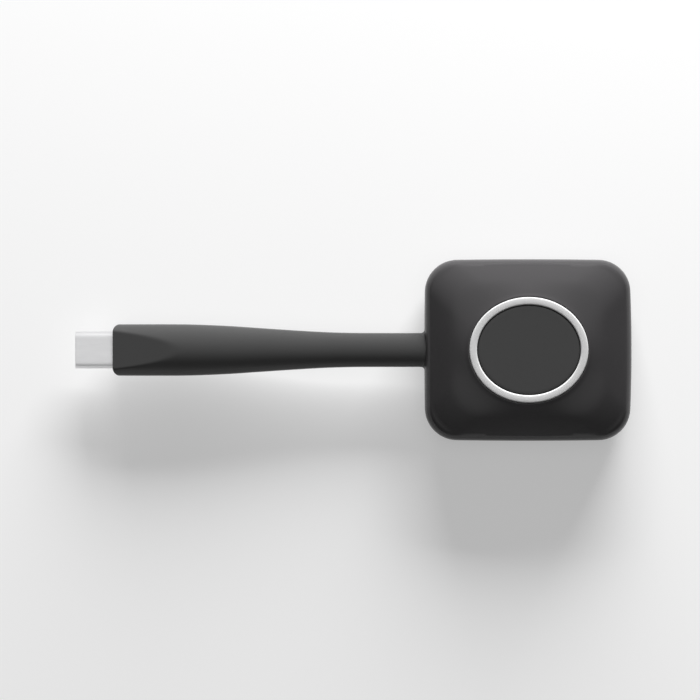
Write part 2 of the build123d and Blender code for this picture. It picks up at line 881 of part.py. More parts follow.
radio_y = radio_in - board_side_y
with BuildPart() as radio_board:
    with Locations((radio_x, radio_y, board_top)):
        Box(*radio_board_size, align=bottom_seat)
radio_board.part.label = "radio_board"
export_step(radio_board.part, "parts/radio_board.step")

with BuildPart() as radio_can:
    with Locations((radio_x, radio_y, board_top + radio_board_size[2])):
        Box(*radio_can_size, align=bottom_seat)
radio_can.part.label = "radio_can"
export_step(radio_can.part, "parts/radio_can.step")

with BuildPart() as flash_chip:
    with Locations((flash_x, flash_in - board_side_y, board_top)):
        Box(*flash_size, align=bottom_seat)
flash_chip.part.label = "flash_chip"
export_step(flash_chip.part, "parts/flash_chip.step")

with BuildPart() as power_chip:
    with Locations((power_chip_x, board_side_y - power_chip_in, board_top)):
        Box(*power_chip_size, align=bottom_seat)
power_chip.part.label = "power_chip"
export_step(power_chip.part, "parts/power_chip.step")

inductor_rows = [board_side_y - inductor_in, board_side_y - inductor_in - inductor_pitch]
with BuildPart() as inductors:
    with Locations(*[(inductor_x, y, board_top) for y in inductor_rows]):
        Box(*inductor_size, align=bottom_seat)
    chamfer(inductors.edges().filter_by(Axis.Z), inductor_corner)
inductors.part.label = "inductors"
export_step(inductors.part, "parts/inductors.step")

with BuildPart() as crystal:
    with Locations((crystal_x, can_width / 2 + crystal_can_gap + crystal_size[1] / 2, board_top)):
        Box(*crystal_size, align=bottom_seat)
crystal.part.label = "crystal"
export_step(crystal.part, "parts/crystal.step")

with BuildPart() as antennas:
    with Locations(*[(board_far_x - antenna_in, side * antenna_y, board_top) for side in (-1, 1)]):
        Box(*antenna_size, align=bottom_seat)
antennas.part.label = "antennas"
export_step(antennas.part, "parts/antennas.step")

with BuildPart() as capacitors:
    with Locations((capacitor_x, can_width / 2 + capacitor_can_gap + capacitor_size[1] / 2, board_top)):
        with GridLocations(capacitor_pitch, 0, capacitor_count, 1):
            Box(*capacitor_size, align=bottom_seat)
capacitors.part.label = "capacitors"
export_step(capacitors.part, "parts/capacitors.step")

# Board-to-board link: header with pins below, socket above
link_meeting = board_top + board_room * link_header_share
link_pin_reach = board_room * link_pin_share
link_y = board_side_y - link_in
with BuildPart() as link_pins:
    with Locations((link_x, link_y, link_meeting - link_pin_reach)):
        with GridLocations(link_pin_pitch, 0, link_pin_count, 1):
            Box(link_pin_width, link_pin_width, 2 * link_pin_reach, align=bottom_seat)
link_pins.part.label = "link_pins"
export_step(link_pins.part, "parts/link_pins.step")

with BuildPart() as link_header:
    with Locations((link_x, link_y, board_top)):
        Box(*link_size, link_meeting - board_top, align=bottom_seat)
    add(link_pins.part, mode=Mode.SUBTRACT)
link_header.part.label = "link_header"
export_step(link_header.part, "parts/link_header.step")

with BuildPart() as link_socket:
    with Locations((link_x, link_y, link_meeting)):
        Box(*link_size, button_board_height - link_meeting, align=bottom_seat)
    add(link_pins.part, mode=Mode.SUBTRACT)
link_socket.part.label = "link_socket"
export_step(link_socket.part, "parts/link_socket.step")


# Cable: jacket, braid and wires, straight inside the neck
def tube(start, end, outer, inner):
    """Round tube along the neck's axis."""
    with BuildPart() as body:
        with BuildSketch(neck_plane(start)):
            Circle(outer)
            Circle(inner, mode=Mode.SUBTRACT)
        extrude(amount=end - start)
    return body.part


with BuildPart() as cable_jacket:
    add(tube(jacket_start_x, jacket_end_x, cable_radius, jacket_inner_radius))
cable_jacket.part.label = "cable_jacket"
export_step(cable_jacket.part, "parts/cable_jacket.step")

with BuildPart() as cable_braid:
    add(tube(jacket_start_x, ferrule_end_x, braid_outer_radius, braid_inner_radius))
cable_braid.part.label = "cable_braid"
export_step(cable_braid.part, "parts/cable_braid.step")

with BuildPart() as braid_ferrule:
    add(
        tube(
            jacket_end_x + fit_gap,
            ferrule_end_x,
            braid_outer_radius + snug_gap + ferrule_wall,
            braid_outer_radius + snug_gap,
        )
    )
braid_ferrule.part.label = "braid_ferrule"
export_step(braid_ferrule.part, "parts/braid_ferrule.step")


def wire_circles(radius):
    """One wire in the middle and the others around it, drawn into the current sketch."""
    Circle(radius)
    with PolarLocations(wire_spacing, wire_count):
        Circle(radius)


with BuildPart() as cable_wires:
    with BuildSketch(neck_plane(wire_start_x)):
        wire_circles(wire_diameter / 2)
    extrude(amount=wire_end_x - wire_start_x)
cable_wires.part.label = "cable_wires"
export_step(cable_wires.part, "parts/cable_wires.step")

# Cable header on the main board: housing and its pins
header_length, header_width = cable_header_size
header_top = axis_height + wire_bundle_radius + fit_gap + cable_header_wall
with BuildPart() as cable_header:
    with Locations((cable_header_x + header_length / 2, 0, board_top)):
        Box(header_length, header_width, header_top - board_top, align=bottom_seat)
    with BuildSketch(neck_plane(cable_header_x)):
        Circle(wire_bundle_radius + fit_gap)
    extrude(amount=cable_header_depth + fit_gap, mode=Mode.SUBTRACT)
cable_header.part.label = "cable_header"
export_step(cable_header.part, "parts/cable_header.step")

# Anchor plate: hard flange on the jacket, trapped behind the wall
with BuildPart() as neck_anchor:
    with BuildSketch(neck_plane(anchor_near_x)):
        RectangleRounded(anchor_width, anchor_height, anchor_corner_radius)
        Circle(cable_radius + snug_gap, mode=Mode.SUBTRACT)
    extrude(amount=anchor_thickness)
neck_anchor.part.label = "neck_anchor"
export_step(neck_anchor.part, "parts/neck_anchor.step")


# Plug: drawn steel shell, insulator, contacts, latches and mid plate
def plug_bar(start, end, width, height):
    """Bar with round sides along the plug's axis."""
    with BuildPart() as body:
        with BuildSketch(neck_plane(start)):
            SlotOverall(width, height)
        extrude(amount=end - start)
    return body.part


with BuildPart() as plug_shell:
    add(plug_bar(plug_tip_x, shell_end_x, plug_width, plug_height))
    add(
        plug_bar(plug_tip_x, shell_end_x, plug_width - 2 * plug_wall, plug_height - 2 * plug_wall),
        mode=Mode.SUBTRACT,
    )
    fillet(plug_shell.faces().sort_by(Axis.X)[0].edges(), plug_edge_radius)
plug_shell.part.label = "plug_shell"
export_step(plug_shell.part, "parts/plug_shell.step")

contact_front_x = insulator_front_x + contact_recess
contact_end_x = card_front_x + contact_tail
contact_middle = tongue_slot_height / 2 + contact_thickness / 2


def contact_bars(extra):
    """Two rows of contact strips, each larger by an extra all round."""
    with BuildPart() as strips:
        for side in (-1, 1):
            middle = ((contact_front_x + contact_end_x) / 2, 0, axis_height + side * contact_middle)
            with Locations(middle):
                with GridLocations(0, contact_pitch, 1, contact_count):
                    Box(
                        contact_end_x - contact_front_x,
                        contact_width + extra,
                        contact_thickness + extra,
                    )
    return strips.part


with BuildPart() as plug_contacts:
    add(contact_bars(0))
plug_contacts.part.label = "plug_contacts"
export_step(plug_contacts.part, "parts/plug_contacts.step")

latch_middle_x = insulator_front_x + contact_recess + latch_length / 2
latch_middle_y = tongue_slot_width / 2 + latch_thickness / 2


def latch_bars(extra):
    """Latch strip on each side of the tongue's slot, larger by an extra all round."""
    with BuildPart() as strips:
        with Locations(*[(latch_middle_x, side * latch_middle_y, axis_height) for side in (-1, 1)]):
            Box(latch_length, latch_thickness + extra, latch_height + extra)
    return strips.part


with BuildPart() as plug_latches:
    add(latch_bars(0))
plug_latches.part.label = "plug_latches"
export_step(plug_latches.part, "parts/plug_latches.step")

slot_end_x = insulator_front_x + tongue_slot_depth
mid_plate_place = (slot_end_x + fit_gap + mid_plate_length / 2, 0, axis_height)
with BuildPart() as plug_mid_plate:
    with Locations(mid_plate_place):
        Box(mid_plate_length, mid_plate_width, mid_plate_thickness)
plug_mid_plate.part.label = "plug_mid_plate"
export_step(plug_mid_plate.part, "parts/plug_mid_plate.step")

with BuildPart() as plug_insulator:
    add(
        plug_bar(
            insulator_front_x,
            shell_end_x,
            plug_width - 2 * plug_wall - 2 * snug_gap,
            plug_height - 2 * plug_wall - 2 * snug_gap,
        )
    )
    with BuildSketch(neck_plane(insulator_front_x)):
        Rectangle(tongue_slot_width, tongue_slot_height)
    extrude(amount=tongue_slot_depth, mode=Mode.SUBTRACT)
    add(contact_bars(snug_gap), mode=Mode.SUBTRACT)
    add(latch_bars(snug_gap), mode=Mode.SUBTRACT)
    with Locations(mid_plate_place):
        Box(
            mid_plate_length + 2 * fit_gap,
            mid_plate_width + snug_gap,
            mid_plate_thickness + snug_gap,
            mode=Mode.SUBTRACT,
        )
plug_insulator.part.label = "plug_insulator"
export_step(plug_insulator.part, "parts/plug_insulator.step")

# Paddle card behind the plug, and the comb that spreads the wires on it
with BuildPart() as paddle_card:
    with Locations((card_front_x + card_length / 2, 0, axis_height)):
        Box(card_length, card_width, card_thickness)
paddle_card.part.label = "paddle_card"
export_step(paddle_card.part, "parts/paddle_card.step")

comb_start_x = card_end_x - comb_bite
with BuildPart() as wire_comb:
    with Locations((comb_start_x + comb_length / 2, 0, axis_height)):
        Box(comb_length, comb_width, comb_height)
    with Locations((comb_start_x + comb_bite / 2, 0, axis_height)):
        Box(comb_bite, card_width, tongue_slot_height, mode=Mode.SUBTRACT)
    with BuildSketch(neck_plane(card_end_x)):
        wire_circles(wire_diameter / 2 + snug_gap / 2)
    extrude(amount=comb_length, mode=Mode.SUBTRACT)
wire_comb.part.label = "wire_comb"
export_step(wire_comb.part, "parts/wire_comb.step")

# Shield can around the card, open to the shell in front and to the wires behind
plug_can_width = plug_width + 2 * plug_can_wall + 2 * fit_gap
with BuildPart() as plug_can:
    with BuildSketch(neck_plane(plug_can_front_x)):
        Rectangle(plug_can_width, plug_can_height)
    extrude(amount=plug_can_length)
    with BuildSketch(neck_plane(plug_can_front_x + plug_can_wall)):
        Rectangle(plug_can_width - 2 * plug_can_wall, plug_can_height - 2 * plug_can_wall)
    extrude(amount=plug_can_length - 2 * plug_can_wall, mode=Mode.SUBTRACT)
    with BuildSketch(neck_plane(plug_can_front_x)):
        SlotOverall(plug_width + 2 * snug_gap, plug_height + 2 * snug_gap)
    extrude(amount=plug_can_wall, mode=Mode.SUBTRACT)
    with BuildSketch(neck_plane(plug_can_end_x - plug_can_wall)):
        Circle(wire_bundle_radius + snug_gap)
    extrude(amount=plug_can_wall, mode=Mode.SUBTRACT)
plug_can.part.label = "plug_can"
export_step(plug_can.part, "parts/plug_can.step")


# Inner mould: hard block around the can, the shell's rear and the start of the cable
def mould_block(extra):
    """Outer shape of the inner mould, larger by an extra all round."""
    with BuildPart() as block:
        with BuildSketch(neck_plane(mould_front_x - extra)):
            RectangleRounded(
                inner_mould_width + 2 * extra, inner_mould_height + 2 * extra, inner_mould_corner_radius
            )
        extrude(amount=inner_mould_length + 2 * extra)
    return block.part


shell_passage = plug_bar(
    plug_tip_x, plug_can_front_x, plug_width + 2 * snug_gap, plug_height + 2 * snug_gap
)
with BuildPart() as cable_bore:
    with BuildSketch(neck_plane(plug_can_end_x)):
        Circle(cable_radius + snug_gap)
    extrude(amount=anchor_near_x - plug_can_end_x)

with BuildPart() as inner_mould:
    add(mould_block(0))
    add(shell_passage, mode=Mode.SUBTRACT)
    with BuildSketch(neck_plane(plug_can_front_x - snug_gap)):
        Rectangle(plug_can_width + 2 * snug_gap, plug_can_height + 2 * snug_gap)
    extrude(amount=plug_can_length + 2 * snug_gap, mode=Mode.SUBTRACT)
    add(cable_bore.part, mode=Mode.SUBTRACT)
inner_mould.part.label = "inner_mould"
export_step(inner_mould.part, "parts/inner_mould.step")

# Neck sleeve: head, facets, tapering neck and the flare against the body, in one soft moulding
facet_end_x = head_face_x + facet_length
facet_clear = head_height / 2 + overrun
flare_start_x = -body_half_length - neck_flare
with BuildPart() as neck_sleeve:
    for along_share, growth_share in neck_shares:
        with BuildSketch(neck_plane(blend(head_face_x, flare_start_x, along_share))):
            Ellipse(
                blend(neck_root_width, head_width, growth_share) / 2,
                blend(neck_root_height, head_height, growth_share) / 2,
            )
    loft()
    with BuildSketch() as plan:
        with Locations((head_face_x, 0)):
            Rectangle(neck_length, head_width + 2 * shell_gap, align=(Align.MIN, Align.CENTER))
        fillet(plan.vertices().group_by(Axis.X)[0], head_corner_radius + shell_gap)
    extrude(amount=axis_height + head_height, mode=Mode.INTERSECT)
    for side in (-1, 1):
        with BuildSketch(Plane.XZ):
            with BuildLine():
                Polyline(
                    (head_face_x, axis_height + side * facet_half_height),
                    (facet_end_x, axis_height + side * head_height / 2),
                    (facet_end_x, axis_height + side * facet_clear),
                    (head_face_x, axis_height + side * facet_clear),
                    close=True,
                )
            make_face()
        extrude(amount=head_width, both=True, mode=Mode.SUBTRACT)
    for step in range(flare_steps + 1):
        angle = radians(90 * step / flare_steps)
        with BuildSketch(neck_plane(-body_half_length - neck_flare * (1 - sin(angle)))):
            Ellipse(neck_root_width / 2 + neck_flare * (1 - cos(angle)), neck_root_height / 2)
    loft()
    with BuildSketch(neck_plane(-body_half_length)):
        Ellipse(neck_root_width / 2 - fit_gap, neck_root_height / 2 - fit_gap)
    extrude(amount=wall)
    add(mould_block(fit_gap), mode=Mode.SUBTRACT)
    add(shell_passage, mode=Mode.SUBTRACT)
    add(cable_bore.part, mode=Mode.SUBTRACT)
neck_sleeve.part.label = "neck_sleeve"
export_step(neck_sleeve.part, "parts/neck_sleeve.step")
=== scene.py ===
import json
from math import atan2, cos, hypot, pi, radians, sin, sqrt, tan

import bmesh
import bpy
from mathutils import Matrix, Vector


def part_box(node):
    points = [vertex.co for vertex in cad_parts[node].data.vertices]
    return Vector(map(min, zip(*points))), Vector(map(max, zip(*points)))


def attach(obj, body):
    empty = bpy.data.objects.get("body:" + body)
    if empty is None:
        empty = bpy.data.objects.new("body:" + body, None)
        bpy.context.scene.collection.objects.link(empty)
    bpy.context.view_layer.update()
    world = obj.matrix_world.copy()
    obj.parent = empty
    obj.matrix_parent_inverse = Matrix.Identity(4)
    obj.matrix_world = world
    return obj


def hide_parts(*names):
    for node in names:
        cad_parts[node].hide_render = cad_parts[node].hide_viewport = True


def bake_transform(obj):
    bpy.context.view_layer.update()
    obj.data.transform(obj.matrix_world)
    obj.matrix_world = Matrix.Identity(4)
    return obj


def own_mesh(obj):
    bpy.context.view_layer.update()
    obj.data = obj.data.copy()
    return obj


bl_info = {
    "name": "Presentation dongle",
    "version": (1, 0, 0),
    "blender": (4, 5, 0),
    "location": "3D View > Sidebar > Dongle",
    "description": "Models the dongle's visible pieces around its CAD solids and lights them",
    "category": "Object",
}

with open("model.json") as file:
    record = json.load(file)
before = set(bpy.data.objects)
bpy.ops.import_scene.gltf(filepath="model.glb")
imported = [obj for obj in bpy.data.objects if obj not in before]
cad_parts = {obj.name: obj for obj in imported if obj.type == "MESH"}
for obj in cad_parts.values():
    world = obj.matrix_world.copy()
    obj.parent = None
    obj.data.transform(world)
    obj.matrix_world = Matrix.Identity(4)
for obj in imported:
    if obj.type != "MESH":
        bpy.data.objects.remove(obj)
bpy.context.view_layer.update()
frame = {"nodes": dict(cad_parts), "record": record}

MM = 0.001
AROUND_BODY = 192
AROUND_NECK = 128
AROUND_PLUG = 96
AROUND_CABLE = 48
AROUND_WIRE = 16
CREASE_ANGLE = radians(32)

# Places that the CAD solids give
body_low, body_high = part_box("top_cover")
bowl_low, bowl_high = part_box("bottom_cover")
ring_low, ring_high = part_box("light_ring")
button_low, button_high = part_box("button_cap")
foot_low, foot_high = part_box("foot_pad")
neck_low, neck_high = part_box("neck_sleeve")
shell_low, shell_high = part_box("plug_shell")
mould_low, mould_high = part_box("inner_mould")
jacket_low, jacket_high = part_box("cable_jacket")
braid_low, braid_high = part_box("cable_braid")
wires_low, wires_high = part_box("cable_wires")
dome_low, dome_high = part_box("switch_dome")
PARTING_Z = body_low.z
AXIS_Z = (shell_low.z + shell_high.z) / 2


def length(name, text, millimetres):
    """A size that the user can change, given in millimetres."""
    return bpy.props.FloatProperty(
        name=name, description=text, default=millimetres * MM, unit="LENGTH", precision=5
    )


def linear(text):
    """An sRGB colour such as #424242 as the linear values that a shader takes."""
    levels = [int(text[place : place + 2], 16) / 255 for place in (1, 3, 5)]
    return [level / 12.92 if level <= 0.04045 else ((level + 0.055) / 1.055) ** 2.4 for level in levels]


def colour(name, text, hex_text):
    """A colour that the user can change, given as sRGB hex."""
    return bpy.props.FloatVectorProperty(
        name=name, description=text, subtype="COLOR", size=3, min=0, max=1, default=linear(hex_text)
    )


class DongleCoverSizes(bpy.types.PropertyGroup):
    corner: length("Corner", "Corner radius of the body seen from above", 7.2)
    side_bow: length("Side bow", "How far the long sides bulge", 0.25)
    far_bow: length("Far end bow", "How far the end away from the plug bulges", 0.6)
    crown_corner: length("Crown corner", "Corner radius of the crown where it meets the ring", 8.5)
    crown_bow: length("Crown bow", "Bulge of the crown's outline at the ring", 1.8)
    rim_height: length("Rim height", "Height at which the side wall rolls over", 8.0)
    rim_roll: length("Rim roll", "Radius of the rolled rim", 1.1)
    rim_reach: length("Rim reach", "How far in from the side the rim's curve meets the crown", 1.3)
    rim_lean: bpy.props.FloatProperty(
        name="Rim lean", description="Slope of the crown at the rim", default=radians(31), unit="ROTATION"
    )
    under_height: length("Underside height", "Height at which the underside starts to roll in", 3.6)
    under_run: length("Underside run", "How far the underside rolls in", 3.6)
    wall: length("Wall", "Thickness of both covers", 1.5)
    lip: length("Lip", "Height of the lip behind the seam", 1.0)
    seam: length("Seam", "Half the width of the groove between the covers", 0.14)
    ring_gap: length("Ring gap", "Gap between the cover and the light ring", 0.1)
    post: length("Post", "Radius of the posts for the screws that close the covers", 2.2)
    post_bore: length("Post bore", "Radius of the thread's hole in those posts", 1.03)
    small_post: length("Small post", "Radius of the posts that carry the button board", 1.3)
    small_bore: length("Small bore", "Radius of the thread's hole in the small posts", 0.73)
    head_bore: length("Head bore", "Radius of the recess for a screw's head", 1.8)
    shank_bore: length("Shank bore", "Radius of the hole for a screw's shank", 1.1)
    standoff: length("Standoff", "Radius of the standoffs under the main board", 1.7)
    board_bore: length("Standoff bore", "Radius of the thread's hole in a standoff", 0.83)
    opening_edge: length("Opening edge", "Rounding of the cover's edge at the ring", 0.12)


class DongleRingSizes(bpy.types.PropertyGroup):
    stroke: length("Stroke", "Width of the lit band", 1.7)
    flange_out: length("Outer flange", "Flange under the cover", 0.9)
    flange_in: length("Inner ledge", "Ledge over the button's flange", 0.95)
    flange_height: length("Flange height", "Thickness of the ring's flange", 0.95)
    edge: length("Edge", "Rounding of the ring's top edges", 0.28)
    button_gap: length("Button gap", "Gap between the ring and the button", 0.15)
    button_edge: length("Button edge", "Rounding of the button's top edge", 0.3)
    button_skirt: length("Skirt", "Thickness of the button's skirt", 1.0)
    button_plate: length("Plate", "Thickness of the button's top", 1.2)
    stop_height: length("Stop height", "Thickness of the button's stop flange", 0.5)
    stem: length("Stem", "Radius of the stem over the switch", 1.5)


class DongleNeckSizes(bpy.types.PropertyGroup):
    root_width: length("Root width", "Width of the neck at the body", 7.6)
    root_height: length("Root height", "Height of the neck at the body", 4.6)
    head_width: length("Head width", "Width of the head behind the plug", 11.5)
    head_height: length("Head height", "Height of the head behind its facets", 7.6)
    head_corner: length("Head corner", "Corner radius of the head seen from above", 1.8)
    facet_length: length("Facet length", "Length of the flat facet on the head", 14.2)
    facet_half: length("Facet half height", "Half height of the head's face", 2.5)
    edge: length("Facet edge", "Rounding of the facet's edge", 0.14)
    flare: length("Flare", "Round widening where the neck meets the body", 0.8)
    cable: length("Cable", "Diameter of the cable inside the neck", 3.2)
    jacket: length("Jacket", "Wall of the cable's jacket", 0.35)
    braid: length("Braid", "Thickness of the braid", 0.15)
    wire: length("Wire", "Diameter of one wire", 0.66)
    wire_spacing: length("Wire spacing", "Distance of the outer wires from the middle one", 0.69)
    bend_start: length("Bend start", "Place along the neck where the bend starts", -25)
    bend_end: length("Bend end", "Place along the neck where the bend ends", -71)


class DonglePlugSizes(bpy.types.PropertyGroup):
    wall: length("Wall", "Thickness of the plug's drawn shell", 0.3)
    tip_edge: length("Tip edge", "Rounding of the shell's mouth", 0.13)


class DongleColours(bpy.types.PropertyGroup):
    charcoal: colour("Charcoal", "Moulded covers", "#343334")
    button: colour("Button", "Moulded button", "#333333")
    neck: colour("Neck", "Soft neck", "#333333")
    rubber: colour("Foot", "Foot pad", "#2c2c2d")
    ring: colour("Ring", "Light guide", "#cfcfcf")
    white: colour("White plastic", "Reflector and connectors", "#e6e6e2")
    steel: colour("Steel", "Bare steel of the plug", "#e6e6e7")
    gold: colour("Gold", "Plated contacts", "#d8b25a")
    board: colour("Board", "Solder mask of the circuit boards", "#14402a")
    black: colour("Black plastic", "Insulators and chip bodies", "#1b1b1c")


class DongleStudio(bpy.types.PropertyGroup):
    lens: bpy.props.FloatProperty(name="Lens", description="Lens of the camera", default=280, min=1)
    view_width: length("View width", "Width of the picture at the body's height", 156.1)
    view_x: length("View centre", "Place along the neck at the picture's centre", -39.8)
    view_height: length("View height", "Height of the plane that the picture's width is measured in", 9.5)
    key: bpy.props.FloatProperty(name="Key", description="Radiance of the low soft lamp", default=50.0, min=0)
    fill: bpy.props.FloatProperty(name="Fill", description="Light of the studio's walls", default=0.05, min=0)
    ceiling: bpy.props.FloatProperty(
        name="Ceiling", description="Light that the white ceiling sheds", default=0.5, min=0
    )
    far_wall: bpy.props.FloatProperty(
        name="Far wall", description="How bright the wall behind the lamp looks in a gloss", default=1.4, min=0
    )
    front_card: bpy.props.FloatProperty(
        name="Front card", description="How bright the card in front looks in a gloss", default=0.25, min=0
    )
    ceiling_inner: bpy.props.FloatProperty(
        name="Ceiling middle", description="Reach of its full light", default=radians(15), unit="ROTATION"
    )
    ceiling_outer: bpy.props.FloatProperty(
        name="Ceiling edge", description="Where its light ends", default=radians(42), unit="ROTATION"
    )


SIZE_GROUPS = (
    ("dongle_cover", DongleCoverSizes),
    ("dongle_ring", DongleRingSizes),
    ("dongle_neck", DongleNeckSizes),
    ("dongle_plug", DonglePlugSizes),
    ("dongle_colours", DongleColours),
    ("dongle_studio", DongleStudio),
)


# Outlines
def ellipse_reach(angle, half_length, half_width):
    """Distance from the centre to an ellipse, in a direction."""
    return 1 / hypot(cos(angle) / half_length, sin(angle) / half_width)


def disc_reach(angle, centre_x, centre_y, radius):
    """Distance from the origin to the far side of a circle, in a direction, or 0 where it misses."""
    along = centre_x * cos(angle) + centre_y * sin(angle)
    rest = radius**2 - (centre_x**2 + centre_y**2 - along**2)
    return along + sqrt(rest) if rest > 0 else 0


def pillow_reach(angle, half_length, half_width, corner, bow, far_bow):
    """Distance from the centre to a rectangle with bowed sides and round corners, in a direction."""
    end_bow = far_bow if cos(angle) > 0 else bow
    turn = atan2(abs(sin(angle)), abs(cos(angle)))
    chord_x = half_width - bow
    radius_x = (chord_x**2 + end_bow**2) / (2 * end_bow)
    side_shift = (bow - far_bow) / 2 * (1 if cos(angle) > 0 else -1)
    chord_y = half_length - (bow + far_bow) / 2
    radius_y = (chord_y**2 + bow**2) / (2 * bow)
    centre_x = (half_length - radius_x, 0)
    centre_y = (side_shift, half_width - radius_y)
    # Middle of the corner: where both sides, moved in by the corner's radius, cross
    inner_x, inner_y = radius_x - corner, radius_y - corner
    gap_x, gap_y = centre_y[0] - centre_x[0], centre_y[1] - centre_x[1]
    gap = hypot(gap_x, gap_y)
    along = (inner_x**2 - inner_y**2 + gap**2) / (2 * gap)
    across = sqrt(max(inner_x**2 - along**2, 0))
    crossings = [
        (
            centre_x[0] + (gap_x * along - side * gap_y * across) / gap,
            centre_x[1] + (gap_y * along + side * gap_x * across) / gap,
        )
        for side in (-1, 1)
    ]
    middle = max(crossings, key=lambda place: place[0] + place[1])
    reach = disc_reach(turn, *middle, corner)
    spot = (reach * cos(turn) - middle[0], reach * sin(turn) - middle[1])
    heading = atan2(spot[1], spot[0])
    lowest = atan2(middle[1] - centre_x[1], middle[0] - centre_x[0])
    highest = atan2(middle[1] - centre_y[1], middle[0] - centre_y[0])
    if reach and lowest <= heading <= highest:
        return reach
    return min(disc_reach(turn, *centre_x, radius_x), disc_reach(turn, *centre_y, radius_y))


def slot_reach(angle, width, height):
    """Distance from the centre to a bar's outline with round ends, in a direction."""
    radius = height / 2
    flat = abs(sin(angle))
    if flat > 0 and radius / flat * abs(cos(angle)) <= width / 2 - radius:
        return radius / flat
    return disc_reach(atan2(flat, abs(cos(angle))), width / 2 - radius, 0, radius)


def block_reach(angle, width, height, corner):
    """Distance from the centre to a rectangle's outline with round corners, in a direction."""
    across, up = abs(cos(angle)), abs(sin(angle))
    reach = min(width / 2 / max(across, 1e-9), height / 2 / max(up, 1e-9))
    middle = (width / 2 - corner, height / 2 - corner)
    if reach * across > middle[0] and reach * up > middle[1]:
        return disc_reach(atan2(up, across), *middle, corner)
    return reach


def flat_loop(reach, height, count=AROUND_BODY):
    """Places around an outline that lies level, for a reach that depends on the direction."""
    turns = [2 * pi * number / count for number in range(count)]
    return [(reach(turn) * cos(turn), reach(turn) * sin(turn), height) for turn in turns]


def cross_loop(reach, x, count):
    """Places around an outline that stands across the neck's axis."""
    turns = [2 * pi * number / count for number in range(count)]
    return [(x, reach(turn) * cos(turn), AXIS_Z + reach(turn) * sin(turn)) for turn in turns]


def mix(start, end, share):
    """Value at a share of the way from start to end."""
    return start + (end - start) * share


def ease(share):
    """Share that starts and ends softly."""
    share = min(max(share, 0), 1)
    return share * share * (3 - 2 * share)


# Modelling steps that several pieces share
def settle(piece, body, finish, nodes=()):
    """Shades a finished piece, gives it its finish, hangs it under its body if it has one and hides its CAD
    nodes.
    """
    bpy.ops.object.select_all(action="DESELECT")
    piece.select_set(True)
    bpy.context.view_layer.objects.active = piece
    bpy.ops.object.shade_smooth_by_angle(angle=CREASE_ANGLE)
    piece.data.materials.clear()
    piece.data.materials.append(bpy.data.materials[finish])
    if body:
        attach(piece, body)
    if nodes:
        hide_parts(*nodes)
    return piece


def lay(piece, loop):
    """Puts the selected corners on a loop's places, each by its number around the piece."""
    shape = bmesh.from_edit_mesh(piece.data)
    numbers = shape.verts.layers.int["around"]
    for corner in shape.verts:
        if corner.select:
            corner.co = loop[corner[numbers]]
    bmesh.update_edit_mesh(piece.data)


def draw_out(name, loops, closed=False):
    """Starts from a circle and draws it out by one extrusion per loop; closed brings it back to its start."""
    bpy.ops.object.select_all(action="DESELECT")
    bpy.ops.mesh.primitive_circle_add(vertices=len(loops[0]), radius=MM)
    piece = bpy.context.object
    piece.name = piece.data.name = name
    bpy.ops.object.mode_set(mode="EDIT")
    bpy.ops.mesh.select_mode(type="VERT")
    bpy.ops.mesh.select_all(action="SELECT")
    shape = bmesh.from_edit_mesh(piece.data)
    numbers = shape.verts.layers.int.new("around")
    for number, corner in enumerate(shape.verts):
        corner[numbers] = number
    lay(piece, loops[0])
    for loop in loops[1:] + loops[:1] * closed:
        bpy.ops.mesh.extrude_edges_move()
        lay(piece, loop)
    bpy.ops.mesh.select_all(action="SELECT")
    bpy.ops.mesh.remove_doubles(threshold=MM / 2000)
    if not closed:
        bpy.ops.mesh.fill_holes(sides=0)
    bpy.ops.mesh.select_all(action="SELECT")
    bpy.ops.mesh.normals_make_consistent(inside=False)
    shape = bmesh.from_edit_mesh(piece.data)
    shape.verts.layers.int.remove(shape.verts.layers.int["around"])
    bpy.ops.object.mode_set(mode="OBJECT")
    return piece


# Finishes
def add_node(tree, kind, links=(), **settings):
    """Adds one node: settings name its properties or, as input names, its sockets; links feed its inputs."""
    node = tree.nodes.new(kind)
    for name, value in settings.items():
        if hasattr(node, name):
            setattr(node, name, value)
        else:
            node.inputs[name.replace("_", " ")].default_value = value
    for name, source in links:
        tree.links.new(source, node.inputs[name])
    return node


def new_finish(name):
    """An empty material with a surface node, ready for its pattern."""
    finish = bpy.data.materials.new(name)
    finish.use_nodes = True
    tree = finish.node_tree
    tree.nodes.clear()
    surface = add_node(tree, "ShaderNodeBsdfPrincipled")
    output = add_node(tree, "ShaderNodeOutputMaterial")
    tree.links.new(surface.outputs["BSDF"], output.inputs["Surface"])
    return tree, surface


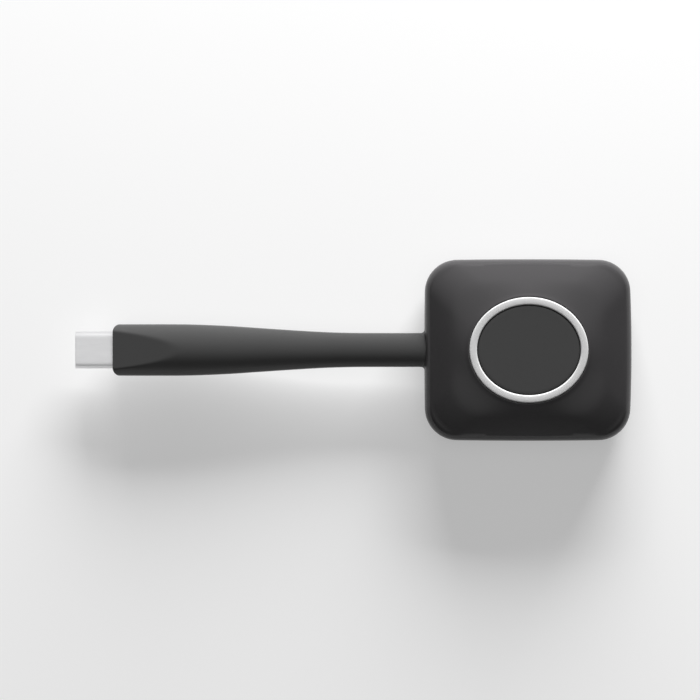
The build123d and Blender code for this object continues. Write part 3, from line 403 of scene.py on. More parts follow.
def moulded(name, tint, roughness, specular, grain_mm, bump_mm, spread, ior=1.5):
    """Moulded plastic or rubber: spark-eroded grain as bump and a faint change of tone and gloss."""
    tree, surface = new_finish(name)
    place = add_node(tree, "ShaderNodeTexCoord").outputs["Object"]
    grain = add_node(
        tree, "ShaderNodeTexNoise", [("Vector", place)], Scale=1 / (grain_mm * MM), Detail=3, Roughness=0.6
    )
    cloud = add_node(tree, "ShaderNodeTexNoise", [("Vector", place)], Scale=1 / (9 * MM), Detail=2)
    tone = add_node(
        tree,
        "ShaderNodeMapRange",
        [("Value", cloud.outputs["Fac"])],
        From_Min=0.3,
        From_Max=0.7,
        To_Min=1 - spread,
        To_Max=1 + spread,
    )
    tinted = add_node(
        tree, "ShaderNodeVectorMath", [("Scale", tone.outputs["Result"])], operation="SCALE"
    )
    tinted.inputs[0].default_value = tint
    gloss = add_node(
        tree,
        "ShaderNodeMapRange",
        [("Value", grain.outputs["Fac"])],
        From_Min=0.3,
        From_Max=0.7,
        To_Min=roughness - 0.05,
        To_Max=roughness + 0.05,
    )
    bump = add_node(
        tree, "ShaderNodeBump", [("Height", grain.outputs["Fac"])], Strength=0.35, Distance=bump_mm * MM
    )
    tree.links.new(tinted.outputs["Vector"], surface.inputs["Base Color"])
    tree.links.new(gloss.outputs["Result"], surface.inputs["Roughness"])
    tree.links.new(bump.outputs["Normal"], surface.inputs["Normal"])
    surface.inputs["IOR"].default_value = ior
    surface.inputs["Specular IOR Level"].default_value = specular
    return tree, surface


def metal(name, tint, roughness, line_mm, stretch, bump_mm=0.004):
    """Metal with drawing or rolling lines: noise stretched along one direction."""
    tree, surface = new_finish(name)
    place = add_node(tree, "ShaderNodeTexCoord").outputs["Object"]
    turned = add_node(tree, "ShaderNodeMapping", [("Vector", place)], Scale=stretch)
    lines = add_node(
        tree,
        "ShaderNodeTexNoise",
        [("Vector", turned.outputs["Vector"])],
        Scale=1 / (line_mm * MM),
        Detail=4,
        Roughness=0.65,
    )
    gloss = add_node(
        tree,
        "ShaderNodeMapRange",
        [("Value", lines.outputs["Fac"])],
        From_Min=0.3,
        From_Max=0.7,
        To_Min=roughness - 0.06,
        To_Max=roughness + 0.08,
    )
    bump = add_node(
        tree, "ShaderNodeBump", [("Height", lines.outputs["Fac"])], Strength=0.3, Distance=bump_mm * MM
    )
    surface.inputs["Base Color"].default_value = (*tint, 1)
    surface.inputs["Metallic"].default_value = 1
    tree.links.new(gloss.outputs["Result"], surface.inputs["Roughness"])
    tree.links.new(bump.outputs["Normal"], surface.inputs["Normal"])
    return tree, surface


class DONGLE_OT_finishes(bpy.types.Operator):
    """Makes the finishes and gives every CAD node its own"""

    bl_idname = "dongle.finishes"
    bl_label = "Finishes"

    def execute(self, context):
        tints = context.scene.dongle_colours
        # ABS blend from a spark-eroded tool: dull, with a fine tooth that only breaks up the sheen
        moulded("Charcoal ABS", tints.charcoal, 0.35, 0.38, 0.35, 0.02, 0.02)
        # The button comes from a smoother tool and stays an even grey
        moulded("Charcoal ABS smooth", tints.button, 0.46, 0.38, 0.3, 0.01, 0.01)
        # Thermoplastic elastomer: soft, dull and a little lighter at grazing angles
        tree, surface = moulded("Neck elastomer", tints.neck, 0.42, 0.38, 0.3, 0.015, 0.02)
        surface.inputs["Sheen Weight"].default_value = 0.03
        surface.inputs["Sheen Roughness"].default_value = 0.5
        # Silicone foot: matt, no shine
        moulded("Foot silicone", tints.rubber, 0.75, 0.2, 0.5, 0.03, 0.04)
        # Milky polycarbonate: light spreads inside it, so it looks even and pale
        tree, surface = moulded("Milky polycarbonate", tints.ring, 0.34, 0.35, 0.4, 0.004, 0.012, 1.58)
        surface.inputs["Subsurface Weight"].default_value = 0.35
        surface.inputs["Subsurface Radius"].default_value = (1, 1, 1)
        surface.inputs["Subsurface Scale"].default_value = 0.6 * MM
        # Glossy white connector plastic
        moulded("White nylon", tints.white, 0.4, 0.5, 0.5, 0.006, 0.015)
        moulded("Cable PVC", linear("#d9d9d6"), 0.45, 0.5, 0.6, 0.01, 0.02)
        moulded("Wire insulation", linear("#b3362e"), 0.38, 0.5, 0.6, 0.006, 0.03)
        moulded("Black nylon", tints.black, 0.42, 0.4, 0.3, 0.006, 0.03)
        moulded("Header plastic", linear("#e8e2cf"), 0.42, 0.5, 0.4, 0.006, 0.02)
        # Epoxy chip bodies are laser dulled on top
        moulded("Chip epoxy", linear("#232324"), 0.6, 0.4, 0.12, 0.006, 0.05)
        moulded("Ceramic", linear("#b89c74"), 0.35, 0.5, 0.25, 0.004, 0.05)
        moulded("Lamp epoxy", linear("#f2ead2"), 0.18, 0.5, 0.5, 0.002, 0.02)
        moulded("Thermal silicone", linear("#9fb4c4"), 0.7, 0.3, 0.4, 0.02, 0.05)
        # Solder mask over woven glass, whose threads show as a faint relief
        tree, surface = moulded("Solder mask", tints.board, 0.3, 0.5, 0.45, 0.006, 0.08)
        surface.inputs["Coat Weight"].default_value = 0.4
        surface.inputs["Coat Roughness"].default_value = 0.15
        # Deep-drawn stainless steel of the plug: fine lines along the draw
        metal("Drawn stainless steel", tints.steel, 0.48, 0.18, (0.06, 1, 1), 0.002)
        metal("Tinned steel", linear("#b9bbbd"), 0.36, 0.5, (1, 1, 1))
        metal("Zinc screws", linear("#9a9da1"), 0.4, 0.12, (1, 1, 0.2))
        metal("Tinned braid", linear("#b4b1aa"), 0.42, 0.2, (0.35, 1, 1), 0.04)
        metal("Gold plating", tints.gold, 0.24, 0.2, (0.1, 1, 1))
        slots = {
            "body_plastic": "Charcoal ABS",
            "button_plastic": "Charcoal ABS smooth",
            "ring_clear": "Milky polycarbonate",
            "white_plastic": "White nylon",
            "foot_rubber": "Foot silicone",
            "neck_rubber": "Neck elastomer",
            "cable_plastic": "Cable PVC",
            "wire_plastic": "Wire insulation",
            "braid_metal": "Tinned braid",
            "bright_steel": "Drawn stainless steel",
            "plated_steel": "Tinned steel",
            "screw_steel": "Zinc screws",
            "gold_contacts": "Gold plating",
            "black_insulator": "Black nylon",
            "header_plastic": "Header plastic",
            "circuit_board": "Solder mask",
            "chip_plastic": "Chip epoxy",
            "ceramic": "Ceramic",
            "lamp_clear": "Lamp epoxy",
            "thermal_silicone": "Thermal silicone",
        }
        for row in frame["record"]["subparts"]:
            node = frame["nodes"][row["node"]]
            node.data.materials.clear()
            node.data.materials.append(bpy.data.materials[slots[row["material_slot"]]])
        return {"FINISHED"}


def body_reach(inset):
    """Reach of the body's side wall, moved in by an inset."""
    sizes = bpy.context.scene.dongle_cover
    half_length, half_width = body_high.x - inset, body_high.y - inset
    return lambda turn: pillow_reach(
        turn, half_length, half_width, sizes.corner - inset, sizes.side_bow, sizes.far_bow
    )


def crown_reach(share, inset=0.0):
    """Reach of the crown at a share of the way from the ring to the rim; near the ring it turns oval."""
    sizes = bpy.context.scene.dongle_cover
    half_length = mix(ring_half().x, body_high.x, share) - inset
    half_width = mix(ring_half().y, body_high.y, share) - inset
    corner = mix(sizes.crown_corner, sizes.corner, share) - inset
    bow = mix(sizes.crown_bow, sizes.side_bow, share)
    far_bow = mix(sizes.crown_bow, sizes.far_bow, share)
    square = ease(share / CROWN_MORPH)

    def reach(turn):
        oval = ellipse_reach(turn, half_length, half_width)
        return mix(oval, pillow_reach(turn, half_length, half_width, corner, bow, far_bow), square)

    return reach


def ring_half():
    """Half length and half width of the lit band's outer edge."""
    flange = bpy.context.scene.dongle_ring.flange_out
    return Vector((ring_high.x - flange, ring_high.y - flange))


def rod(radius, low, high, place, sides=48):
    """Upright round tool between two heights."""
    bpy.ops.object.select_all(action="DESELECT")
    bpy.ops.mesh.primitive_cylinder_add(
        vertices=sides, radius=radius, depth=high - low, location=(*place, (low + high) / 2)
    )
    return bpy.context.object


def lying_rod(half_width, half_height, start, end):
    """Oval tool along the neck's axis between two places."""
    bpy.ops.object.select_all(action="DESELECT")
    bpy.ops.mesh.primitive_cylinder_add(
        vertices=64,
        radius=1,
        depth=1,
        location=((start + end) / 2, 0, AXIS_Z),
        rotation=(0, pi / 2, 0),
    )
    tool = bpy.context.object
    bpy.ops.object.transform_apply(location=False, rotation=True, scale=False)
    tool.scale = (end - start, half_width, half_height)
    bpy.ops.object.transform_apply(location=False, rotation=False, scale=True)
    return tool


def block(low, high):
    """Square tool between two corners."""
    bpy.ops.object.select_all(action="DESELECT")
    low, high = Vector(low), Vector(high)
    bpy.ops.mesh.primitive_cube_add(size=1, location=(low + high) / 2, scale=high - low)
    return bpy.context.object


def combine(piece, tool, operation):
    """Adds a tool to a piece or cuts it out, and throws the tool away."""
    bpy.ops.object.select_all(action="DESELECT")
    piece.select_set(True)
    bpy.context.view_layer.objects.active = piece
    change = piece.modifiers.new("change", "BOOLEAN")
    change.operation = operation
    change.solver = "EXACT"
    change.object = tool
    bpy.ops.object.modifier_apply(modifier=change.name)
    bpy.data.objects.remove(tool)


def clean(piece):
    """Takes out the edges and faces without any size that cuts can leave."""
    bpy.ops.object.select_all(action="DESELECT")
    piece.select_set(True)
    bpy.context.view_layer.objects.active = piece
    bpy.ops.object.mode_set(mode="EDIT")
    bpy.ops.mesh.select_all(action="SELECT")
    bpy.ops.mesh.dissolve_degenerate(threshold=MM / 2000)
    bpy.ops.object.mode_set(mode="OBJECT")


def crown_height(place, rim_share, top, roll_top):
    """Height of the crown's outer face over a place, found by halving the share of the way out."""
    turn, far = atan2(place[1], place[0]), hypot(*place)
    low, high = 0.0, 1.0
    for step in range(30):
        share = (low + high) / 2
        if crown_reach(share * rim_share)(turn) < far:
            low = share
        else:
            high = share
    return mix(top, roll_top, crown_drop(low))


def crown_drop(share):
    """Share of the crown's drop at a share of its way out."""
    return CROWN_START_SLOPE * share + (1 - CROWN_START_SLOPE) * share**2


def screw_places(node):
    """Middles of the like screws of a CAD node, by where their shells lie."""
    mesh = frame["nodes"][node].data
    corners = [tuple(round(value / MM, 2) for value in vertex.co) for vertex in mesh.vertices]
    low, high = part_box(node)
    middles = []
    for side_x in (-1, 1):
        for side_y in (-1, 1):
            part = [
                corner
                for corner in corners
                if (corner[0] * MM - (low.x + high.x) / 2) * side_x > 0 and corner[1] * side_y > 0
            ]
            xs, ys = [corner[0] for corner in part], [corner[1] for corner in part]
            middles.append(((min(xs) + max(xs)) / 2 * MM, (min(ys) + max(ys)) / 2 * MM))
    return middles


CROWN_MORPH = 0.45
CROWN_STEPS = 14
CROWN_START_SLOPE = 0.68
ROLL_STEPS = 12
UNDER_STEPS = 10


def post(radius, low, place, surface, into, rim_share):
    """Screw post whose top follows the crown, a little inside its outer face."""
    sizes = bpy.context.scene.dongle_cover
    roll_top = sizes.rim_height + sizes.rim_roll * cos(sizes.rim_lean)
    tool = rod(radius, low, surface, place)
    bpy.ops.object.transform_apply(location=True, rotation=False, scale=False)
    bpy.ops.object.mode_set(mode="EDIT")
    shape = bmesh.from_edit_mesh(tool.data)
    for corner in shape.verts:
        if corner.co.z > (low + surface) / 2:
            spot = (corner.co.x, corner.co.y)
            corner.co.z = crown_height(spot, rim_share, body_high.z, roll_top) - into
    bmesh.update_edit_mesh(tool.data)
    bpy.ops.object.mode_set(mode="OBJECT")
    return tool


def open_neck_way(cover):
    """Cuts the way through a cover for the neck's root and, through the rib, for the cable."""
    sizes = bpy.context.scene.dongle_neck
    gap = 0.05 * MM
    root = lying_rod(
        sizes.root_width / 2 + gap, sizes.root_height / 2 + gap, -body_high.x - MM, neck_high.x + gap
    )
    combine(cover, root, "DIFFERENCE")
    radius = sizes.cable / 2 + gap
    combine(cover, lying_rod(radius, radius, neck_high.x - gap, jacket_high.x + gap), "DIFFERENCE")


class DONGLE_OT_upper_cover(bpy.types.Operator):
    """Draws the upper cover out from its seam over the rolled rim and the crown to the ring's opening"""

    bl_idname = "dongle.upper_cover"
    bl_label = "Upper cover"

    def execute(self, context):
        sizes = context.scene.dongle_cover
        lean = sizes.rim_lean
        roll_inset = sizes.rim_roll * (1 - sin(lean))
        roll_top = sizes.rim_height + sizes.rim_roll * cos(lean)
        rim_share = 1 - roll_inset / (body_high.x - ring_half().x)
        opening = ring_half() + Vector((sizes.ring_gap, sizes.ring_gap))
        top = body_high.z
        pocket_z = ring_low.z + 1.0 * MM
        pocket = ring_high + Vector((sizes.ring_gap, sizes.ring_gap, 0))
        loops = []
        # Side wall up from the seam's groove
        for inset, height in (
            (sizes.seam, PARTING_Z),
            (0.35 * sizes.seam, PARTING_Z + 0.4 * sizes.seam),
            (0, PARTING_Z + sizes.seam),
        ):
            loops.append(flat_loop(body_reach(inset), height))
        # The wall leans in more and more and runs over the rim into the crown
        rim_end = (1 - sizes.rim_reach / (body_high.x - ring_half().x)) / rim_share
        rim_top = mix(top, roll_top, crown_drop(rim_end))
        wall_start = PARTING_Z + 4 * sizes.seam
        corner_z = rim_top - sizes.rim_reach * tan(lean)
        for step in range(ROLL_STEPS):
            share = step / ROLL_STEPS
            height = mix(mix(wall_start, corner_z, share), mix(corner_z, rim_top, share), share)
            loops.append(flat_loop(body_reach(sizes.rim_reach * share * share), height))
        # Crown up to the ring's opening
        for step in range(CROWN_STEPS, 0, -1):
            share = rim_end * step / CROWN_STEPS
            height = mix(top, roll_top, crown_drop(share))
            loops.append(flat_loop(crown_reach(share * rim_share), height))

        def oval(grow):
            return lambda turn: ellipse_reach(turn, opening.x + grow, opening.y + grow)

        edge = sizes.opening_edge
        slope = CROWN_START_SLOPE * (top - roll_top) / (body_high.x - ring_half().x)
        for grow, height in (
            (2.2 * edge, top - 2.2 * edge * slope),
            (edge, top - edge * slope),
            (0.3 * edge, top - 0.35 * edge),
            (0, top - edge),
            (0, pocket_z),
        ):
            loops.append(flat_loop(oval(grow), height))
        loops.append(flat_loop(lambda turn: ellipse_reach(turn, pocket.x, pocket.y), pocket_z))
        loops.append(flat_loop(lambda turn: ellipse_reach(turn, pocket.x, pocket.y), ring_low.z + 0.7 * MM))
        # Inside of the wall, back down to the seam and the groove for the lower cover's lip
        for share in (0.45, 0.65, 0.85, 1.0):
            height = mix(top, roll_top, crown_drop(share)) - sizes.wall * cos(lean)
            inset = sizes.wall * sin(lean)
            loops.append(flat_loop(crown_reach(share * rim_share, inset), height))
        lip_face = sizes.wall - 0.75 * MM
        for inset, height in (
            (sizes.wall, roll_top - sizes.wall * cos(lean) - 0.4 * MM),
            (sizes.wall, PARTING_Z + sizes.lip + 0.05 * MM),
            (lip_face, PARTING_Z + sizes.lip + 0.05 * MM),
            (lip_face, PARTING_Z),
        ):
            loops.append(flat_loop(body_reach(inset), height))
        cover = draw_out("cover_upper", loops, closed=True)
        # Screw posts reach half way into the crown's wall
        into = 0.75 * MM
        button_screws = screw_places("button_board_screws")
        button_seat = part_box("button_board_screws")
        case_screws = screw_places("housing_screws")
        for place in case_screws:
            reach = crown_height(place, rim_share, top, roll_top)
            combine(cover, post(sizes.post, PARTING_Z, place, reach, into, rim_share), "UNION")
        for place in button_screws:
            reach = crown_height(place, rim_share, top, roll_top)
            low = frame_top("button_board")
            combine(cover, post(sizes.small_post, low, place, reach, into, rim_share), "UNION")
        rib_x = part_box("neck_anchor")[1].x + 0.05 * MM
        rib_high = crown_height((rib_x, 6 * MM), rim_share, top, roll_top) - into
        rib = block((rib_x, -6 * MM, PARTING_Z), (rib_x + MM, 6 * MM, rib_high))
        combine(cover, rib, "UNION")
        for place in case_screws:
            screw_top = frame_top("housing_screws")
            combine(cover, rod(sizes.post_bore, PARTING_Z - MM, screw_top + MM, place), "DIFFERENCE")
        for place in button_screws:
            high = button_seat[1].z + 0.1 * MM
            combine(cover, rod(sizes.small_bore, button_seat[0].z, high, place), "DIFFERENCE")
        open_neck_way(cover)
        clean(cover)
        settle(cover, "housing", "Charcoal ABS", ["top_cover"])
        return {"FINISHED"}


class DONGLE_OT_lower_cover(bpy.types.Operator):
    """Draws the lower cover out from the foot's recess round the rolled underside to its lip"""

    bl_idname = "dongle.lower_cover"
    bl_label = "Lower cover"

    def execute(self, context):
        sizes = context.scene.dongle_cover
        foot_gap = 0.1 * MM
        recess_x, recess_y = foot_high.x + foot_gap, foot_high.y + foot_gap
        depth = sizes.under_height - bowl_low.z

        def recess(grow):
            return lambda turn: block_reach(turn, 2 * (recess_x + grow), 2 * (recess_y + grow), 4.1 * MM)

        def under(angle, inset):
            """Inset and height of the rolled underside at an angle, moved in along its normal."""
            out, down = cos(angle) * depth, sin(angle) * sizes.under_run
            size = hypot(out, down)
            return (
                sizes.under_run * (1 - cos(angle)) + inset * out / size,
                sizes.under_height - depth * sin(angle) + inset * down / size,
            )

        loops = [
            flat_loop(recess(0), foot_high.z),
            flat_loop(recess(0), bowl_low.z + 0.1 * MM),
            flat_loop(recess(0.1 * MM), bowl_low.z),
        ]
        for step in range(UNDER_STEPS, -1, -1):
            inset, height = under(pi / 2 * step / UNDER_STEPS, 0)
            loops.append(flat_loop(body_reach(inset), height))
        lip_face = sizes.wall - 0.7 * MM
        for inset, height in (
            (0, PARTING_Z - 4 * sizes.seam),
            (0, PARTING_Z - sizes.seam),
            (0.35 * sizes.seam, PARTING_Z - 0.4 * sizes.seam),
            (sizes.seam, PARTING_Z),
            (lip_face, PARTING_Z),
            (lip_face, PARTING_Z + sizes.lip),
            (sizes.wall, PARTING_Z + sizes.lip),
            (sizes.wall, sizes.under_height + 0.2 * MM),
        ):
            loops.append(flat_loop(body_reach(inset), height))
        for step in range(0, UNDER_STEPS + 1, 2):
            inset, height = under(pi / 2 * step / UNDER_STEPS, sizes.wall)
            loops.append(flat_loop(body_reach(inset), height))
        cover = draw_out("cover_lower", loops)
        floor_z = bowl_low.z + 1.1 * MM
        case_screws = screw_places("housing_screws")
        board_screws = screw_places("main_board_screws")
        board_low, board_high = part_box("main_board")
        rib_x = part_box("neck_anchor")[1].x + 0.05 * MM
        for place in case_screws:
            combine(cover, rod(sizes.post, floor_z, PARTING_Z, place), "UNION")
        for place in board_screws:
            combine(cover, rod(sizes.standoff, floor_z, board_low.z, place), "UNION")
        rib = block((rib_x, -6 * MM, floor_z), (rib_x + MM, 6 * MM, PARTING_Z))
        combine(cover, rib, "UNION")
        head_low, screw_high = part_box("housing_screws")
        seat = head_low.z + 1.3 * MM
        for place in case_screws:
            combine(cover, rod(sizes.head_bore, bowl_low.z, seat, place), "DIFFERENCE")
            combine(cover, rod(sizes.shank_bore, seat - MM, PARTING_Z + 2 * MM, place), "DIFFERENCE")
        for place in board_screws:
            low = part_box("main_board_screws")[0].z - 0.1 * MM
            combine(cover, rod(sizes.board_bore, low, board_high.z, place), "DIFFERENCE")
        open_neck_way(cover)
        clean(cover)
        settle(cover, "housing", "Charcoal ABS", ["bottom_cover"])
        return {"FINISHED"}


EDGE_STEPS = 5


class DONGLE_OT_light_ring(bpy.types.Operator):
    """Draws the milky ring out round its section: flange, band with round edges and inner ledge"""

    bl_idname = "dongle.light_ring"
    bl_label = "Light ring"

    def execute(self, context):
        sizes = context.scene.dongle_ring
        outer = ring_half()
        flange_top = ring_low.z + sizes.flange_height
        section = [(sizes.flange_out, ring_low.z), (sizes.flange_out, flange_top), (0, flange_top)]
        top = ring_high.z
        section.append((0, top - 2 * sizes.edge))
        for step in range(EDGE_STEPS + 1):
            angle = pi / 2 * step / EDGE_STEPS
            section.append((-sizes.edge * (1 - cos(angle)), top - sizes.edge * (1 - sin(angle))))
        section.append((-sizes.stroke / 2, top))
        for step in range(EDGE_STEPS, -1, -1):
            angle = pi / 2 * step / EDGE_STEPS
            section.append(
                (-sizes.stroke + sizes.edge * (1 - cos(angle)), top - sizes.edge * (1 - sin(angle)))
            )
        section.append((-sizes.stroke, top - 2 * sizes.edge))
        inner = sizes.flange_in - sizes.stroke
        section += [(-sizes.stroke, flange_top), (inner, flange_top), (inner, ring_low.z)]
        loops = [
            flat_loop(lambda turn: ellipse_reach(turn, outer.x + grow, outer.y + grow), height)
            for grow, height in section
        ]
        ring = draw_out("ring_guide", loops, closed=True)
        settle(ring, "housing", "Milky polycarbonate", ["light_ring"])
        return {"FINISHED"}


class DONGLE_OT_button(bpy.types.Operator):
    """Draws the button out from the middle of its top over the round edge to its stop flange and stem"""

    bl_idname = "dongle.button"
    bl_label = "Button"

    def execute(self, context):
        sizes = context.scene.dongle_ring
        half = ring_half() - Vector((1, 1)) * (sizes.stroke + sizes.button_gap)
        top = button_high.z
        stop_low = ring_low.z + 0.4 * MM
        stop_high = stop_low + sizes.stop_height
        flange = button_high.x - half.x
        section = [(-half.y / 2, top), (-3 * sizes.button_edge, top)]
        for step in range(EDGE_STEPS, -1, -1):
            angle = pi / 2 * step / EDGE_STEPS
            section.append(
                (-sizes.button_edge * (1 - cos(angle)), top - sizes.button_edge * (1 - sin(angle)))
            )
        section += [(0, top - 2 * sizes.button_edge), (0, stop_high)]
        section += [(flange, stop_high), (flange, stop_low), (-sizes.button_skirt, stop_low)]
        section.append((-sizes.button_skirt, top - sizes.button_plate))
        loops = [
            flat_loop(lambda turn: ellipse_reach(turn, half.x + grow, half.y + grow), height)
            for grow, height in section
        ]
        stem_low = frame_top("switch_plunger")
        loops.append(flat_loop(lambda turn: sizes.stem, top - sizes.button_plate))
        loops.append(flat_loop(lambda turn: sizes.stem, stem_low))
        button = draw_out("button_plate", loops)
        settle(button, "button", "Charcoal ABS smooth", ["button_cap"])
        return {"FINISHED"}


def frame_top(node):
    """Height of the top of a CAD node."""
    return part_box(node)[1].z


class DONGLE_OT_foot(bpy.types.Operator):
    """Makes the foot pad from a block: round corners, then a soft lower edge"""

    bl_idname = "dongle.foot"
    bl_label = "Foot pad"

    def execute(self, context):
        bpy.ops.object.select_all(action="DESELECT")
        size = foot_high - foot_low
        bpy.ops.mesh.primitive_cube_add(size=1, location=(foot_low + foot_high) / 2, scale=size)
        pad = context.object
        pad.name = pad.data.name = "foot_sheet"
        bpy.ops.object.transform_apply(location=True, rotation=True, scale=True)
        bpy.ops.object.mode_set(mode="EDIT")
        bpy.ops.mesh.select_mode(type="EDGE")

        def pick(wanted):
            """Selects the edges that the test wants."""
            bpy.ops.mesh.select_all(action="DESELECT")
            shape = bmesh.from_edit_mesh(pad.data)
            for edge in shape.edges:
                low, high = sorted((edge.verts[0].co.z, edge.verts[1].co.z))
                edge.select_set(wanted(low, high))
            bmesh.update_edit_mesh(pad.data)

        middle = (foot_low.z + foot_high.z) / 2
        pick(lambda low, high: low < middle < high)
        bpy.ops.mesh.bevel(offset=4 * MM, segments=12, affect="EDGES")
        pick(lambda low, high: high < middle)
        bpy.ops.mesh.bevel(offset=0.2 * MM, segments=4, affect="EDGES")
        bpy.ops.mesh.select_mode(type="VERT")
        bpy.ops.object.mode_set(mode="OBJECT")
        settle(pad, "housing", "Foot silicone", ["foot_pad"])
        return {"FINISHED"}


# Share of the way from the plug end to the body, and share of the growth from the root to the head
NECK_GROWTH = [
    (0.00, 1.000),
    (0.22, 1.000),
    (0.30, 0.930),
    (0.38, 0.800),
    (0.46, 0.610),
    (0.54, 0.420),
    (0.62, 0.240),
    (0.70, 0.090),
    (0.78, 0.015),
    (0.86, 0.000),
    (1.00, 0.000),
]


def smooth_row(rows, place):
    """Value of a row of stations at a place, with the slope carried smoothly through each station."""
    for number in range(len(rows) - 1):
        if place <= rows[number + 1][0]:
            break
    before = rows[max(number - 1, 0)]
    start, end = rows[number], rows[number + 1]
    after = rows[min(number + 2, len(rows) - 1)]
    run = end[0] - start[0]
    slope_start = (end[1] - before[1]) / (end[0] - before[0]) * run
    slope_end = (after[1] - start[1]) / (after[0] - start[0]) * run
    share = (place - start[0]) / run
    return (
        start[1] * (1 + 2 * share) * (1 - share) ** 2
        + slope_start * share * (1 - share) ** 2
        + end[1] * share**2 * (3 - 2 * share)
        + slope_end * share**2 * (share - 1)
    )


def soft_limit(value, limit, soft):
    """Value held under a limit, with a round change-over that reaches as far as soft."""
    size = abs(value)
    near = max(soft - abs(size - limit), 0) / soft
    return (min(size, limit) - near * near * soft / 4) * (1 if value >= 0 else -1)


class DONGLE_OT_neck(bpy.types.Operator):
    """Draws the neck out from its root over the flare and taper to the faceted head, then back inside"""

    bl_idname = "dongle.neck"
    bl_label = "Neck"

    def execute(self, context):
        sizes = context.scene.dongle_neck
        face = neck_low.x
        wall_x = -body_high.x
        flare_x = wall_x - sizes.flare
        whole = flare_x - face

        def skin(x):
            """Places around the neck's outside at a place along it."""
            growth = smooth_row(NECK_GROWTH, min(max((x - face) / whole, 0), 1))
            half_width = mix(sizes.root_width, sizes.head_width, growth) / 2
            half_height = mix(sizes.root_height, sizes.head_height, growth) / 2
            if x > flare_x:
                rest = min((wall_x - x) / sizes.flare, 1)
                half_width += sizes.flare * (1 - sqrt(max(1 - (1 - rest) ** 2, 0)))
            facet = mix(sizes.facet_half, sizes.head_height / 2, (x - face) / sizes.facet_length)
            corner = min((x - face) / sizes.head_corner, 1)
            plan = sizes.head_width / 2 + 0.1 * MM - sizes.head_corner * (1 - sqrt(1 - (1 - corner) ** 2))
            places = []
            for number in range(AROUND_NECK):
                turn = 2 * pi * number / AROUND_NECK
                y, z = half_width * cos(turn), half_height * sin(turn)
                z = soft_limit(z, facet, sizes.edge)
                if x < face + sizes.head_corner:
                    y = soft_limit(y, plan, sizes.edge)
                places.append((x, y, AXIS_Z + z))
            return places

        stations = [wall_x]
        stations += [wall_x - sizes.flare * (1 - cos(pi / 2 * step / 8)) for step in range(1, 9)]
        head_start = face + sizes.facet_length + 2 * MM
        count = 72
        stations += [mix(flare_x, head_start, step / count) for step in range(1, count + 1)]
        corner_x = face + sizes.head_corner
        count = 52
        stations += [mix(head_start, corner_x, step / count) for step in range(1, count + 1)]
        stations += [face + sizes.head_corner * (1 - sin(pi / 2 * step / 12)) for step in range(1, 13)]

        def across(reach, x):
            return cross_loop(reach, x, AROUND_NECK)

        cable = sizes.cable / 2 + 0.02 * MM
        root_x = neck_high.x
        inside = 0.05 * MM
        loops = [
            across(lambda turn: cable, root_x),
            across(
                lambda turn: ellipse_reach(
                    turn, sizes.root_width / 2 - inside, sizes.root_height / 2 - inside
                ),
                root_x,
            ),
            across(
                lambda turn: ellipse_reach(
                    turn, sizes.root_width / 2 - inside, sizes.root_height / 2 - inside
                ),
                wall_x,
            ),
        ]
        loops += [skin(x) for x in stations]
        plug = shell_high - shell_low + Vector((0, 1, 1)) * 0.04 * MM
        mould = (mould_high - mould_low) + Vector((0, 1, 1)) * 0.1 * MM
        mould_front, mould_back = mould_low.x - inside, mould_high.x + inside

        def passage(turn):
            return slot_reach(turn, plug.y, plug.z)

        def pocket(turn):
            return block_reach(turn, mould.y, mould.z, 1.25 * MM)

        loops += [across(passage, x) for x in (face, mould_front)]
        loops += [across(pocket, x) for x in (mould_front, mould_back)]
        count = 60
        loops += [
            across(lambda turn: cable, mix(mould_back, root_x, step / count)) for step in range(count)
        ]
        neck = draw_out("neck_skin", loops, closed=True)
        settle(neck, None, "Neck elastomer")
        bend(neck)
        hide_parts("neck_sleeve")
        return {"FINISHED"}


